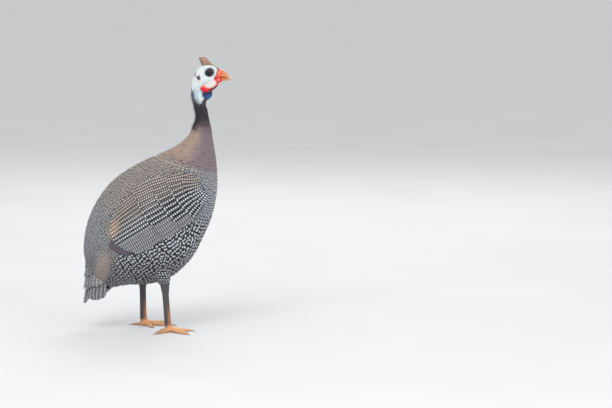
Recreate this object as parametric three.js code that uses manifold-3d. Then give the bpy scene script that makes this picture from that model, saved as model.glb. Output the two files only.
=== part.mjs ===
// A life-size helmeted guinea fowl, standing alert with its neck up and its tail down.
// Millimetres. +Z is up, the bill points along +X, the bird's left is +Y, and the feet stand on z = 0.
// The origin lies on the floor under the middle of the bird's bounding box.
// Head, neck and torso are one lofted body, parted by thin flat cuts. All other pieces are set on it.
import * as THREE from "three";
import { mergeVertices } from "three/addons/utils/BufferGeometryUtils.js";
import Module from "manifold-3d";

const wasm = await Module();
wasm.setup();

const GAP = 0.3; // between touching pieces
const BODY_SIDES = 24;
const NECK_SIDES = 18;

// Stations of the body, from the bill's base down to the vent. back and front are [x, z] on the
// bird's outline, half is half its breadth there, and lean makes the back (+) or the front (-) broader.
const STATIONS = [
  { name: "bill base", back: [127, 496], front: [127, 474], half: 7.8, lean: 0 },
  { name: "lore", back: [116, 502.5], front: [125.6, 471], half: 11.2, lean: 0.1 },
  { name: "eye", back: [104.5, 503.5], front: [123.6, 468], half: 13.6, lean: 0.08 },
  { name: "crown", back: [94.5, 500], front: [121.4, 464], half: 14, lean: 0.05 },
  { name: "occiput", back: [86.5, 492.5], front: [119.2, 460], half: 13.6, lean: 0 },
  { name: "ear", back: [80.6, 483], front: [117.4, 455.6], half: 12.6, lean: 0 },
  { name: "jaw", back: [77.6, 471], front: [116, 450.6], half: 11.5, lean: 0 },
  { name: "throat", back: [76.8, 458], front: [113.6, 441.6], half: 10.6, lean: 0 },
  { name: "throat fold", back: [77.6, 445], front: [105, 435], half: 10, lean: 0 },
  { name: "upper neck", back: [80.2, 431], front: [104.4, 426], half: 9.7, lean: 0 },
  { name: "thin neck", back: [83.4, 416.5], front: [106.6, 413.5], half: 10, lean: 0 },
  { name: "lower neck", back: [84.6, 402.5], front: [109.4, 400], half: 11.6, lean: 0 },
  { name: "neck base", back: [80, 387], front: [112.8, 384], half: 15.4, lean: 0 },
  { name: "mantle", back: [68.4, 368], front: [116.2, 364], half: 22.5, lean: 0 },
  { name: "shoulder", back: [49, 351.5], front: [119.6, 343], half: 34, lean: 0 },
  { name: "upper breast", back: [19, 336.4], front: [123, 318], half: 49, lean: 0 },
  { name: "breast", back: [-15, 321.6], front: [124.6, 288], half: 61.5, lean: 0 },
  { name: "wing bow", back: [-49, 302.6], front: [122.4, 254], half: 70, lean: 0 },
  { name: "saddle", back: [-78.5, 279], front: [114.4, 217], half: 75.5, lean: 0 },
  { name: "flank", back: [-100.5, 250.6], front: [98.6, 179], half: 77.5, lean: 0 },
  { name: "belly", back: [-116.5, 220], front: [77, 138.4], half: 75.5, lean: 0 },
  { name: "thigh", back: [-126, 189], front: [42.5, 104], half: 69.5, lean: 0 },
  { name: "rump", back: [-129.6, 160], front: [2, 88], half: 59.5, lean: 0 },
  { name: "tail head", back: [-128, 136], front: [-42, 85], half: 45.5, lean: 0 },
  { name: "vent", back: [-120, 116], front: [-80, 80], half: 29, lean: 0 },
  { name: "vent end", back: [-110, 102], front: [-97, 88], half: 13, lean: 0 },
];
const station = (name) => STATIONS.findIndex((s) => s.name === name) / (STATIONS.length - 1);
const CUT_JAW = station("jaw");
const CUT_MID_NECK = station("thin neck");
const CUT_MANTLE = station("mantle");
const CUT_RUMP = station("tail head");
const HEAD_ROWS = 13;
const NECK_ROWS = 7;
const TORSO_ROWS = 20;

// Bill
const BILL_BASE_X = 127; // the flat face of the head that the bill grows from
const CULMEN = [[127, 494.4], [133, 494], [139, 490.8], [144.6, 485.6], [149.4, 479.6], [152.4, 474.6]];
const BITE = [[127, 478], [133, 479.2], [139, 479.4], [144.6, 478.2], [149.4, 476.2], [152.4, 473.6]];
const CHIN = [[127, 473.8], [132, 473.2], [137, 473.2], [142, 473.7], [147, 474.4], [150, 475.2]];
const BILL_HALF = [7.4, 6.8, 5.4, 4.1, 2.4, 0.5];
const LOWER_BILL_HALF = [6.6, 5.9, 4.9, 3.8, 2.3, 0.7];
const MOUTH_GAP = 0.4;
const MOUTH_CORNER = { length: 5, y: 6.6, z: 475.8, high: 0.8 }; // the slit in the head behind the bill
const NOSTRIL = { at: [133, 6.6, 487], size: [2.4, 1.6, 1.2] };

// Helmet: level slices of the bony casque, each with its rear and front x and its half thickness
const CASQUE = [
  { z: 492, rear: 99, front: 127, half: 6 },
  { z: 498, rear: 97.6, front: 122.6, half: 5.4 },
  { z: 503, rear: 96, front: 117.2, half: 4.8 },
  { z: 508, rear: 93.4, front: 112.6, half: 4.3 },
  { z: 513, rear: 91, front: 108.4, half: 3.9 },
  { z: 516.4, rear: 90.8, front: 105.6, half: 3.2 },
  { z: 518.4, rear: 94, front: 102.4, half: 1.5 },
];

// Eyes, lids and ears, given for the left side
const EYE = { at: [109.8, 7.8, 488.6], radius: 7, sides: 11, rings: 7 };
const LID = { radius: 6.5, thick: 1.8, out: 12.2, open: 0.86 };
const EAR = { at: [91, 12.6, 478], size: [2.1, 3, 2.8], rim: 3.1, rimThick: 0.9 };

// Wattle: the path of its middle from the gape to its lobe, and the bulbs about the gape, for the left side
const WATTLE_PATH = [
  [124.5, 9, 474.5],
  [119, 12.4, 467.6],
  [110.5, 14.4, 462],
  [101, 15, 459],
  [93, 14, 458.4],
];
const WATTLE = { half: 8.8, thick: 1.1, rimThick: 1.8, flare: 2.2, fold: 0.5, lobe: 1.1 };
const GAPE_BULBS = [
  { at: [127, 8.8, 478.6], size: [5.2, 2.8, 3.8] },
  { at: [131, 7.4, 474.4], size: [4, 2.8, 4] },
  { at: [124.4, 9.8, 472.4], size: [4, 2.8, 4.4] },
];

// Wing in the bird's side view: p runs from its bend to its tip, q from its lower edge upwards
const WING = { bend: [93, 262], slope: 29, thick: 5.2 };
const WING_LOWER = [[-4, 0], [14, -20], [52, -34], [90, -38], [122, -36], [155, -26], [182, -12]];
const WING_UPPER = [[-4, 14], [10, 54], [45, 70], [88, 74], [130, 62], [160, 38], [182, 10]];
const SUNK = -1.6; // how far the wing's pieces reach into the body before the body is cut from them
const VANE_ROWS = 4;
const VANE_STEP = 1.3; // how far each feather's edge stands over the next
// Tiers of wing feathers, the lowest layer first: p and q of the roots and the tips of a tier's lowest and
// highest feather, how far the tier is raised, and reach, how much further its middle feathers go
const WING_TIERS = {
  primaries: { count: 3, root: [[80, -24], [84, -12]], tip: [[186, -20], [200, -5]], raise: 1, reach: 0 },
  secondaries: { count: 9, root: [[70, -29], [66, 56]], tip: [[150, -31], [152, 44]], raise: 2, reach: 30 },
  coverts: { count: 7, root: [[34, -25], [34, 56]], tip: [[96, -33], [108, 62]], raise: 3.4, reach: 4 },
  medianCoverts: { count: 6, root: [[8, -15], [12, 48]], tip: [[62, -30], [72, 62]], raise: 4.6, reach: 4 },
  lesserCoverts: { count: 5, root: [[-6, -1], [-4, 30]], tip: [[31, -20], [38, 48]], raise: 5.6, reach: 6 },
};
const WING_VANE_HALF = 9.4;

// Tail: two fans of feathers, one over it and one under it. A fan's ridge runs from root to tip, [x, z],
// and its feathers lie side by side round an arch, whose half width is across and whose depth is arch.
const OVER = { root: [-119.5, 164], tip: [-131.4, 47], across: 29, arch: 34, facing: 1 };
const UNDER = { root: [-62, 100], tip: [-95, 60], across: 23, arch: 25, facing: -1 };
// A tier's feathers go from and to these lengths along the ridge, the side ones less far by shorter. out is
// how far they lie out from the arch, and spread how far round it they go, in degrees.
const TAIL_TIERS = {
  tailFeathers: { fan: OVER, count: 9, from: 22, to: 117, shorter: 14, half: 9.6, out: 0, spread: 84 },
  upperCoverts: { fan: OVER, count: 7, from: 4, to: 84, shorter: 16, half: 11, out: 3.4, spread: 74 },
  underCoverts: { fan: UNDER, count: 5, from: 8, to: 53, shorter: 4, half: 9, out: 0, spread: 74 },
  ventFeathers: { fan: UNDER, count: 3, from: -4, to: 32, shorter: 2, half: 10.5, out: 3.4, spread: 50 },
};
const TAIL = { thick: 1, swell: 3, core: 62, sink: 2 };

// Legs. Each leg's hock and foot are [x, y, z] or [x, y]; toes give their heading in degrees from +X.
const HOCK_Z = 88;
const ANKLE_Z = 14;
const ANKLE_BACK = 4; // how far the ankle stands behind the middle of the foot
const THIGH = { top: [4, 32, 150], topHalf: [40, 26], hockHalf: [10.5, 8.6] };
const SHANK = { hock: [8.6, 7.2], middle: [5.6, 4.7], ankle: [6.6, 5.8], plates: 9, step: 0.55 };
const LEGS = [
  { side: "right", hock: [26, -40], foot: [35.6, -42], toes: [2, -50, -126, 132] },
  { side: "left", hock: [-21, 40], foot: [-16, 42], toes: [-66, -14, 40, 176] },
];
// Toes II, III, IV and the hind toe
const TOES = [
  { length: 34, thick: 4.1, tip: 2.9, claw: 11, lift: 0, plates: 3 },
  { length: 47, thick: 4.5, tip: 3, claw: 13, lift: 0, plates: 4 },
  { length: 37, thick: 4.1, tip: 2.9, claw: 11, lift: 0, plates: 3 },
  { length: 21, thick: 2.9, tip: 2.2, claw: 9, lift: 3.4, plates: 2 },
];
const SOLE = 0.9; // how much is cut off below each toe, for its flat

const COLOURS = {
  skin: new THREE.MeshStandardMaterial({ color: 0xcfdde6, roughness: 0.6, metalness: 0 }),
  horn: new THREE.MeshStandardMaterial({ color: 0x9a7563, roughness: 0.55, metalness: 0 }),
  bill: new THREE.MeshStandardMaterial({ color: 0xe07a35, roughness: 0.4, metalness: 0 }),
  eye: new THREE.MeshStandardMaterial({ color: 0x2a1c1c, roughness: 0.08, metalness: 0 }),
  wattle: new THREE.MeshStandardMaterial({ color: 0xd9261c, roughness: 0.5, metalness: 0 }),
  neck: new THREE.MeshStandardMaterial({ color: 0x5d5257, roughness: 0.8, metalness: 0 }),
  plumage: new THREE.MeshStandardMaterial({ color: 0x6e6c6e, roughness: 0.8, metalness: 0 }),
  quill: new THREE.MeshStandardMaterial({ color: 0x7d7a78, roughness: 0.75, metalness: 0 }),
  shank: new THREE.MeshStandardMaterial({ color: 0x4d474b, roughness: 0.55, metalness: 0 }),
  toe: new THREE.MeshStandardMaterial({ color: 0xd07a45, roughness: 0.55, metalness: 0 }),
  claw: new THREE.MeshStandardMaterial({ color: 0xcbb9a2, roughness: 0.4, metalness: 0 }),
};

const radians = THREE.MathUtils.degToRad;
const lerp = THREE.MathUtils.lerp;
const clamp = THREE.MathUtils.clamp;
const smooth = THREE.MathUtils.smoothstep;

// A smooth curve through points, read by a share t of their count. Two numbers are x and z.
function curve(points) {
  const places = points.map((p) => (p.length === 2 ? [p[0], 0, p[1]] : p));
  const spots = places.map((p) => new THREE.Vector3(...p));
  return new THREE.CatmullRomCurve3(spots, false, "catmullrom", 0.5);
}

// A curve of single numbers
function course(numbers) {
  const line = curve(numbers.map((n, i) => [i, n]));
  return (t) => line.getPoint(clamp(t, 0, 1)).z;
}

// A closed geometry as a manifold-3d solid with its faces pointing out
function solidOf(geometry) {
  const bare = new THREE.BufferGeometry().setAttribute("position", geometry.getAttribute("position"));
  bare.setIndex(geometry.index);
  const merged = mergeVertices(bare, 1e-4);
  const triVerts = new Uint32Array(merged.index.array);
  const vertProperties = merged.attributes.position.array;
  const made = new wasm.Manifold(new wasm.Mesh({ numProp: 3, vertProperties, triVerts }));
  if (made.volume() > 0) return made;
  for (let i = 0; i < triVerts.length; i += 3) {
    [triVerts[i + 1], triVerts[i + 2]] = [triVerts[i + 2], triVerts[i + 1]];
  }
  return new wasm.Manifold(new wasm.Mesh({ numProp: 3, vertProperties, triVerts }));
}

// The largest closed surface of a solid
function largest(solid) {
  return solid.decompose().reduce((a, b) => (b.volume() > a.volume() ? b : a));
}

function union(solids) {
  return solids.reduce((a, b) => a.add(b));
}

// A named mesh from a solid
function meshOf(name, solid, material) {
  const { vertProperties, triVerts, numProp, numVert } = largest(solid).getMesh();
  const places = new Float32Array(numVert * 3);
  for (let i = 0; i < numVert; i++) {
    places.set(vertProperties.subarray(i * numProp, i * numProp + 3), i * 3);
  }
  const geometry = new THREE.BufferGeometry();
  geometry.setAttribute("position", new THREE.BufferAttribute(places, 3));
  geometry.setIndex(new THREE.BufferAttribute(triVerts, 1));
  geometry.computeVertexNormals();
  const mesh = new THREE.Mesh(geometry, material);
  mesh.name = name;
  return mesh;
}

// A cylinder reshaped into a loft: place(t, angle) is the surface, and middle(t) the centre of an end.
function loft(sides, rows, place, middle) {
  const geometry = new THREE.CylinderGeometry(1, 1, 1, sides, rows);
  const spots = geometry.getAttribute("position");
  for (let i = 0; i < spots.count; i++) {
    const t = 0.5 - spots.getY(i);
    const onAxis = Math.hypot(spots.getX(i), spots.getZ(i)) < 0.5;
    const spot = onAxis ? middle(t) : place(t, Math.atan2(spots.getX(i), spots.getZ(i)));
    spots.setXYZ(i, spot.x, spot.y, spot.z);
  }
  return solidOf(geometry);
}

// A tube along a path with an oval section of half sizes sizes(t) = [across, upright].
// ridge(t, angle) adds to its radius.
function tube(path, sizes, sides, rows, ridge = () => 0) {
  const frameAt = (t) => {
    const along = path.getTangent(clamp(t, 0.001, 0.999));
    const across = new THREE.Vector3(0, 0, 1).cross(along);
    if (across.length() < 0.05) across.set(0, 1, 0);
    across.normalize();
    return { across, upright: along.clone().cross(across) };
  };
  const place = (t, angle) => {
    const { across, upright } = frameAt(t);
    const [w, h] = sizes(t);
    const more = ridge(t, angle);
    return path
      .getPoint(t)
      .addScaledVector(across, Math.sin(angle) * (w + more))
      .addScaledVector(upright, Math.cos(angle) * (h + more));
  };
  return loft(sides, rows, place, (t) => path.getPoint(t));
}

// A closed slab: place(i, j, face) puts its grid, i and j from 0 to 1, on face 1 (outer) and face 0
// (inner). Both faces are split into triangles alike.
function slab(columns, rows, place) {
  const sheet = new THREE.PlaneGeometry(1, 1, columns, rows);
  const flat = sheet.getAttribute("position");
  const count = flat.count;
  const places = new Float32Array(count * 6);
  for (let k = 0; k < count; k++) {
    for (const face of [1, 0]) {
      const spot = place(flat.getX(k) + 0.5, 0.5 - flat.getY(k), face);
      places.set([spot.x, spot.y, spot.z], (face ? k : k + count) * 3);
    }
  }
  const index = [...sheet.index.array];
  for (let k = 0; k < sheet.index.count; k += 3) {
    const [a, b, c] = [0, 1, 2].map((n) => sheet.index.getX(k + n) + count);
    index.push(a, c, b);
  }
  const wide = columns + 1;
  const border = [];
  for (let i = 0; i < columns; i++) border.push(i);
  for (let j = 0; j < rows; j++) border.push(j * wide + columns);
  for (let i = columns; i > 0; i--) border.push(rows * wide + i);
  for (let j = rows; j > 0; j--) border.push(j * wide);
  border.forEach((a, n) => {
    const b = border[(n + 1) % border.length];
    index.push(a, b, b + count, a, b + count, a + count);
  });
  const geometry = new THREE.BufferGeometry();
  geometry.setAttribute("position", new THREE.BufferAttribute(places, 3));
  geometry.setIndex(index);
  return solidOf(geometry);
}

// An oval ball
function ball(at, size, wide = 12, high = 8) {
  const geometry = new THREE.SphereGeometry(1, wide, high);
  geometry.scale(...size);
  geometry.translate(...at);
  return solidOf(geometry);
}

// A ring whose hole looks along Y, made lower by open
function ring(at, radius, thick, around, open = 1) {
  const geometry = new THREE.TorusGeometry(radius, thick, 6, around);
  geometry.scale(1, open, 1);
  geometry.rotateX(Math.PI / 2);
  geometry.translate(...at);
  return solidOf(geometry);
}

function block(low, high) {
  const size = high.map((h, i) => h - low[i]);
  const geometry = new THREE.BoxGeometry(...size);
  geometry.translate(...high.map((h, i) => (h + low[i]) / 2));
  return solidOf(geometry);
}

const mirrored = ([x, y, z], side) => [x, y * side, z];
const shares = (count) => Array.from({ length: count }, (_, i) => i / (count - 1)); // 0 to 1, evenly

// The body
const backLine = curve(STATIONS.map((s) => s.back));
const frontLine = curve(STATIONS.map((s) => s.front));
const halfBreadth = course(STATIONS.map((s) => s.half));
const leaning = course(STATIONS.map((s) => s.lean));

// The body's section at station share t, made larger by grow: angle 0 is the back, +90 degrees its left
function bodyPoint(t, angle, grow = 0) {
  const back = backLine.getPoint(t);
  const front = frontLine.getPoint(t);
  const centre = back.clone().add(front).multiplyScalar(0.5);
  const up = back.clone().sub(front);
  const half = up.length() / 2;
  up.normalize();
  const c = Math.cos(angle);
  const y = (halfBreadth(t) + grow) * Math.sin(angle) * (1 + leaning(t) * c);
  return centre.addScaledVector(up, c * (half + grow)).setY(y);
}

function bodyMiddle(t) {
  return backLine.getPoint(t).add(frontLine.getPoint(t)).multiplyScalar(0.5);
}

// The length of the body's middle line from t0 to t1
function bodyLength(t0, t1) {
  const steps = 20;
  let length = 0;
  for (let i = 0; i < steps; i++) {
    length += bodyMiddle(lerp(t0, t1, i / steps)).distanceTo(bodyMiddle(lerp(t0, t1, (i + 1) / steps)));
  }
  return length;
}

// A stretch of the body between two stations, made larger by grow, its start moved on by trim and its
// end by extend
function bodyStretch(t0, t1, rows, { grow = 0, trim = 0, extend = 0 } = {}) {
  const sides = t1 > CUT_MANTLE ? BODY_SIDES : NECK_SIDES;
  const share = (t1 - t0) / bodyLength(t0, t1);
  const at = (t) => clamp(lerp(t0 + trim * share, t1 + extend * share, t), 0, 1);
  return loft(sides, rows, (t, angle) => bodyPoint(at(t), angle, grow), (t) => bodyMiddle(at(t)));
}

// Where the side view's place x, z lies on the body: its station share and how far it is from the middle line
function sideSpot(x, z) {
  let low = CUT_JAW;
  let high = 1;
  for (let i = 0; i < 40; i++) {
    const t = (low + high) / 2;
    const back = backLine.getPoint(t);
    const front = frontLine.getPoint(t);
    const turn = (front.x - back.x) * (z - back.z) - (front.z - back.z) * (x - back.x);
    if (turn < 0) low = t;
    else high = t;
  }
  const back = backLine.getPoint(low);
  const front = frontLine.getPoint(low);
  const up = back.clone().sub(front);
  const half = up.length() / 2;
  up.normalize();
  const [overX, overZ] = [x - (back.x + front.x) / 2, z - (back.z + front.z) / 2];
  const offset = (overX * up.x + overZ * up.z) / half;
  return { t: low, angle: Math.acos(clamp(offset, -0.97, 0.97)) };
}

// The body's left or right surface seen at x, z from the side, moved out along its normal by lift
function onFlank(x, z, side, lift) {
  const spot = sideSpot(x, z);
  const step = 0.01;
  const here = bodyPoint(spot.t, spot.angle * side);
  const lower = bodyPoint(spot.t, (spot.angle + step) * side).sub(here);
  const further = bodyPoint(Math.min(spot.t + step / 4, 1), spot.angle * side).sub(here);
  const normal = lower.cross(further).normalize();
  if (normal.y * side < 0) normal.negate();
  return here.addScaledVector(normal, lift);
}

function eyeball(side, grow) {
  const reach = EYE.radius + grow;
  return ball(mirrored(EYE.at, side), [reach, reach, reach], EYE.sides, EYE.rings);
}

// Head, with rims round its eyes and ears, cups for both, and a slit at each corner of the mouth
function makeHead() {
  let head = bodyStretch(0, CUT_JAW, HEAD_ROWS);
  for (const side of [1, -1]) {
    const eye = mirrored(EYE.at, side);
    head = head.add(ring([eye[0], LID.out * side, eye[2]], LID.radius, LID.thick, 12, LID.open));
    head = head.add(ring(mirrored(EAR.at, side), EAR.rim, EAR.rimThick, 8));
  }
  for (const side of [1, -1]) {
    head = head.subtract(eyeball(side, GAP));
    head = head.subtract(ball(mirrored(EAR.at, side), EAR.size, 8, 6));
    const edges = [MOUTH_CORNER.y * side, (MOUTH_CORNER.y + 5) * side].sort((a, b) => a - b);
    const low = [BILL_BASE_X - MOUTH_CORNER.length, edges[0], MOUTH_CORNER.z];
    head = head.subtract(block(low, [BILL_BASE_X + 1, edges[1], MOUTH_CORNER.z + MOUTH_CORNER.high]));
  }
  return head;
}

// A half bill: top and bottom are its edges in side view, and halves its half breadths from base to tip
function bill(top, bottom, halves, lift, grow = 0) {
  const topLine = curve(top);
  const bottomLine = curve(bottom);
  const half = course(halves);
  const place = (t, angle) => {
    const up = topLine.getPoint(t);
    const low = bottomLine.getPoint(t);
    const c = Math.cos(angle);
    const middle = lerp(low.z, up.z, lift);
    const z = middle + c * (grow + (c > 0 ? up.z - middle : middle - low.z));
    const x = up.x + (t === 0 ? GAP - 2 * grow : grow * t);
    return new THREE.Vector3(x, (half(t) + grow) * Math.sin(angle), z);
  };
  const middle = (t) => place(t, 0).add(place(t, Math.PI)).multiplyScalar(0.5);
  return loft(14, 8, place, middle);
}

function upperBill(grow) {
  return bill(CULMEN, BITE, BILL_HALF, 0.25, grow);
}

function lowerBill(grow) {
  const bite = curve(BITE);
  const last = CHIN.length - 1;
  const level = (z, i) => (i < last ? bite.getPoint(i / last).z - MOUTH_GAP : z + MOUTH_GAP);
  const top = CHIN.map(([x, z], i) => [x, level(z, i)]);
  return bill(top, CHIN, LOWER_BILL_HALF, 0.7, grow);
}

function makeUpperBill() {
  let upper = upperBill(0);
  for (const side of [1, -1]) {
    upper = upper.subtract(ball(mirrored(NOSTRIL.at, side), NOSTRIL.size, 8, 6));
  }
  return upper;
}

function makeCasque(headGrown) {
  const level = course(CASQUE.map((s) => s.z));
  const rear = course(CASQUE.map((s) => s.rear));
  const front = course(CASQUE.map((s) => s.front));
  const half = course(CASQUE.map((s) => s.half));
  const place = (t, angle) => {
    const middle = (rear(t) + front(t)) / 2;
    const reach = (front(t) - rear(t)) / 2;
    return new THREE.Vector3(middle + reach * Math.cos(angle), half(t) * Math.sin(angle), level(t));
  };
  const middle = (t) => new THREE.Vector3((rear(t) + front(t)) / 2, 0, level(t));
  return loft(14, 9, place, middle).subtract(headGrown);
}

// The wattle is a folded flap with a thick rim and a fuller rear lobe, joined to the bulbs about the gape.
function makeWattle(side, cutters) {
  const path = curve(WATTLE_PATH.map((p) => mirrored(p, side)));
  const place = (i, j, face) => {
    const along = path.getTangent(clamp(i, 0.001, 0.999));
    const across = new THREE.Vector3(along.z, 0, -along.x).normalize(); // towards the free lower rim
    const wide = WATTLE.half * Math.pow(Math.sin(Math.PI * lerp(0.16, 0.93, i)), 0.7);
    const e = 1 - 2 * j;
    const rim = smooth(Math.abs(e), 0.4, 0.8) * smooth(i, 0.2, 0.6);
    const lobe = WATTLE.lobe * smooth(i, 0.55, 0.8) * (1 - smooth(i, 0.88, 1)) * (1 - e * e);
    const thick = (lerp(WATTLE.thick, WATTLE.rimThick, rim) + lobe) * (Math.abs(e) > 0.99 ? 0.45 : 1);
    const flare = WATTLE.flare * e * Math.sin((Math.PI / 2) * clamp(i * 1.4, 0, 1));
    const fold = WATTLE.fold * Math.cos(i * 5 * Math.PI) * e;
    const out = side * (flare + fold + thick * (face ? 1 : -1));
    return path.getPoint(i).addScaledVector(across, wide * e).add(new THREE.Vector3(0, out, 0));
  };
  const bulbs = GAPE_BULBS.map(({ at, size }) => ball(mirrored(at, side), size, 8, 5));
  return union([slab(8, 4, place), ...bulbs]).subtract(union(cutters));
}

// Wing: from p and q to x and z in the side view
function wingSpot(p, q) {
  const [c, s] = [Math.cos(radians(WING.slope)), Math.sin(radians(WING.slope))];
  return [WING.bend[0] - c * p - s * q, WING.bend[1] - s * p + c * q];
}

const wingLower = curve(WING_LOWER);
const wingUpper = curve(WING_UPPER);

// The thickness of the folded wing under its feathers
function wingBulk(p, q) {
  const along = Math.sin(Math.PI * clamp((p + 20) / 205, 0, 1));
  const across = Math.sin(Math.PI * clamp((q + 34) / 130, 0, 1));
  return WING.thick * Math.pow(along, 0.7) * Math.pow(across, 0.7);
}

// The wing's flat core, inside its outline
function wingCore(side) {
  const place = (i, j, face) => {
    const low = wingLower.getPoint(i);
    const up = wingUpper.getPoint(i);
    const [p, q] = [lerp(low.x, up.x, j), lerp(low.z, up.z, j)];
    const rim = smooth(Math.min(j, 1 - j), 0, 0.18) * smooth(Math.min(i, 1 - i), 0, 0.12);
    const [x, z] = wingSpot(p, q);
    return onFlank(x, z, side, face ? 1 + wingBulk(p, q) * rim : SUNK);
  };
  return slab(8, 5, place);
}

// How far along a feather its rows of corners lie, closer towards its tip
const alongVane = (i) => Math.sin((Math.PI / 2) * i);

// A feather's half breadth at share t of its length: narrow at its root and round at its tip
function vaneHalf(half, length, t) {
  const rounding = 1 - half / length;
  const tip = t > rounding ? Math.sqrt(1 - Math.pow((t - rounding) / (1 - rounding), 2)) : 1;
  return half * Math.max(lerp(0.5, 1, smooth(t, 0, 0.3)) * tip, 0.15);
}

// A small seeded change, from -1 to 1 times size
const vary = (size) => (2 * THREE.MathUtils.seededRandom() - 1) * size;

// One wing feather: its upper edge is tucked under, and its lower edge and tip stand up over the next.
function wingVane(tier, share, side) {
  const mix = ([low, high]) => [lerp(low[0], high[0], share), lerp(low[1], high[1], share)];
  const root = mix(tier.root);
  const tip = mix(tier.tip);
  tip[0] += tier.reach * Math.sin(Math.PI * share) + vary(2);
  const length = Math.hypot(tip[0] - root[0], tip[1] - root[1]);
  const along = [(tip[0] - root[0]) / length, (tip[1] - root[1]) / length];
  const place = (i, j, face) => {
    const t = alongVane(i);
    const e = 2 * j - 1;
    const wide = vaneHalf(WING_VANE_HALF, length, t);
    const p = root[0] + along[0] * length * t - along[1] * wide * e;
    const q = root[1] + along[1] * length * t + along[0] * wide * e;
    const [x, z] = wingSpot(p, q);
    const tilt = VANE_STEP * (e * smooth(t, 0, 0.3) + 0.2 * e * e);
    const lift = wingBulk(p, q) + tier.raise * smooth(t, 0, 0.4) - tilt + 1;
    return onFlank(x, z, side, face ? lift : SUNK);
  };
  return slab(VANE_ROWS, 2, place);
}

function makeWing(side, torsoGrown) {
  THREE.MathUtils.seededRandom(11);
  const tiers = Object.values(WING_TIERS);
  const vanes = tiers.flatMap((tier) => shares(tier.count).map((share) => wingVane(tier, share, side)));
  return union([wingCore(side), ...vanes]).subtract(torsoGrown);
}

// A place on a tail fan: s along its ridge, turned round its arch by angle, and out from the arch by out
function onFan({ root, tip, across, arch, facing }, s, angle, out) {
  const ridge = new THREE.Vector3(root[0], 0, root[1]);
  const along = new THREE.Vector3(tip[0], 0, tip[1]).sub(ridge).normalize();
  const outwards = new THREE.Vector3(along.z, 0, -along.x).multiplyScalar(facing);
  const fall = (arch + out) * (1 - Math.cos(angle)) - out;
  ridge.addScaledVector(along, s).addScaledVector(outwards, -fall);
  return ridge.setY((across + out) * Math.sin(angle));
}

// How far the tail's feathers are pushed out over the root of the tail at s
const tailSwell = (s) => TAIL.swell * (1 - smooth(s, 20, 80));

// One tail feather. Its outer edge stands over the next one out, and the middle one lies over both sides.
function tailVane(tier, share) {
  const angle = radians(lerp(-tier.spread, tier.spread, share));
  const length = tier.to - tier.from - tier.shorter * Math.pow(Math.sin(angle), 2) + vary(1.5);
  const handed = Math.sign(Math.round(angle * 100));
  const place = (i, j, face) => {
    const t = alongVane(i);
    const e = 2 * j - 1;
    const s = tier.from + length * t;
    const turn = angle + (vaneHalf(tier.half, length, t) * e) / (tier.fan.across + tier.out);
    const lift = handed === 0 ? VANE_STEP : VANE_STEP * e * handed;
    const sunk = -5 * (1 - smooth(t, 0, 0.3)) - (face ? 0 : TAIL.thick * lerp(1.4, 0.8, t));
    return onFan(tier.fan, s, turn, tailSwell(s) + tier.out + lift + sunk);
  };
  return slab(VANE_ROWS, 2, place);
}

// The flesh at the root of the tail, which fills the arch of its upper feathers and thins towards them
function tailCore() {
  const { across, arch } = OVER;
  const at = (t) => lerp(-8, TAIL.core, t);
  const place = (t, angle) => {
    const size = lerp(1, 0.9, smooth(t, 0.6, 1));
    const more = tailSwell(at(t)) - TAIL.sink;
    const c = Math.cos(angle);
    const height = c * (c > 0 ? arch * size + more : lerp(16, 2, smooth(t, 0.4, 0.9)));
    return onFan(OVER, at(t), 0, height - arch).setY(Math.sin(angle) * (across * size + more));
  };
  return loft(12, 4, place, (t) => place(t, 0).add(place(t, Math.PI)).multiplyScalar(0.5));
}

function makeTail(torsoGrown) {
  THREE.MathUtils.seededRandom(5);
  const tiers = Object.values(TAIL_TIERS);
  const vanes = tiers.flatMap((tier) => shares(tier.count).map((share) => tailVane(tier, share)));
  const vent = bodyStretch(CUT_RUMP, 1, 4, { trim: GAP });
  return union([vent, tailCore(), ...vanes]).subtract(torsoGrown);
}

// Legs
function makeThigh(leg, torsoGrown) {
  const side = Math.sign(leg.foot[1]);
  const shift = leg.hock[0] - LEGS[0].hock[0];
  const top = new THREE.Vector3(THIGH.top[0] + shift * 0.8, THIGH.top[1] * side, THIGH.top[2]);
  const bottom = new THREE.Vector3(leg.hock[0], leg.hock[1], HOCK_Z + GAP);
  const place = (t, angle) => {
    const [wide, deep] = [0, 1].map((k) => lerp(THIGH.topHalf[k], THIGH.hockHalf[k], Math.pow(t, 0.8)));
    const spot = top.clone().lerp(bottom, t);
    return spot.add(new THREE.Vector3(wide * Math.cos(angle), deep * Math.sin(angle), 0));
  };
  return loft(14, 7, place, (t) => top.clone().lerp(bottom, t)).subtract(torsoGrown);
}

// The shank stands between two level cuts, with plates down its front, each standing out at its lower end
function makeShank(leg) {
  const rows = SHANK.plates * 2;
  const top = new THREE.Vector3(...leg.hock, HOCK_Z);
  const bottom = new THREE.Vector3(leg.foot[0] - ANKLE_BACK, leg.foot[1], ANKLE_Z + GAP);
  const place = (t, angle) => {
    const slim = smooth(t, 0, 0.28);
    const flare = smooth(t, 0.72, 1);
    const half = [0, 1].map((k) => lerp(lerp(SHANK.hock[k], SHANK.middle[k], slim), SHANK.ankle[k], flare));
    const c = Math.cos(angle);
    const plate = (Math.round(t * rows) % 2) * SHANK.step * smooth(c, 0.1, 0.7);
    const spot = top.clone().lerp(bottom, t);
    return spot.add(new THREE.Vector3(c * (half[0] + plate), Math.sin(angle) * (half[1] + plate / 2), 0));
  };
  return loft(9, rows, place, (t) => top.clone().lerp(bottom, t));
}

// The path of a toe and of its claw: out from the foot's middle at its heading
function toePath(leg, k, from, to, heights) {
  const heading = radians(leg.toes[k]);
  const start = k === 3 ? 2 : 3;
  const points = heights.map((z, i) => {
    const out = start + lerp(from, to, i / (heights.length - 1));
    return [leg.foot[0] + Math.cos(heading) * out, leg.foot[1] + Math.sin(heading) * out, z];
  });
  return curve(points);
}

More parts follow.
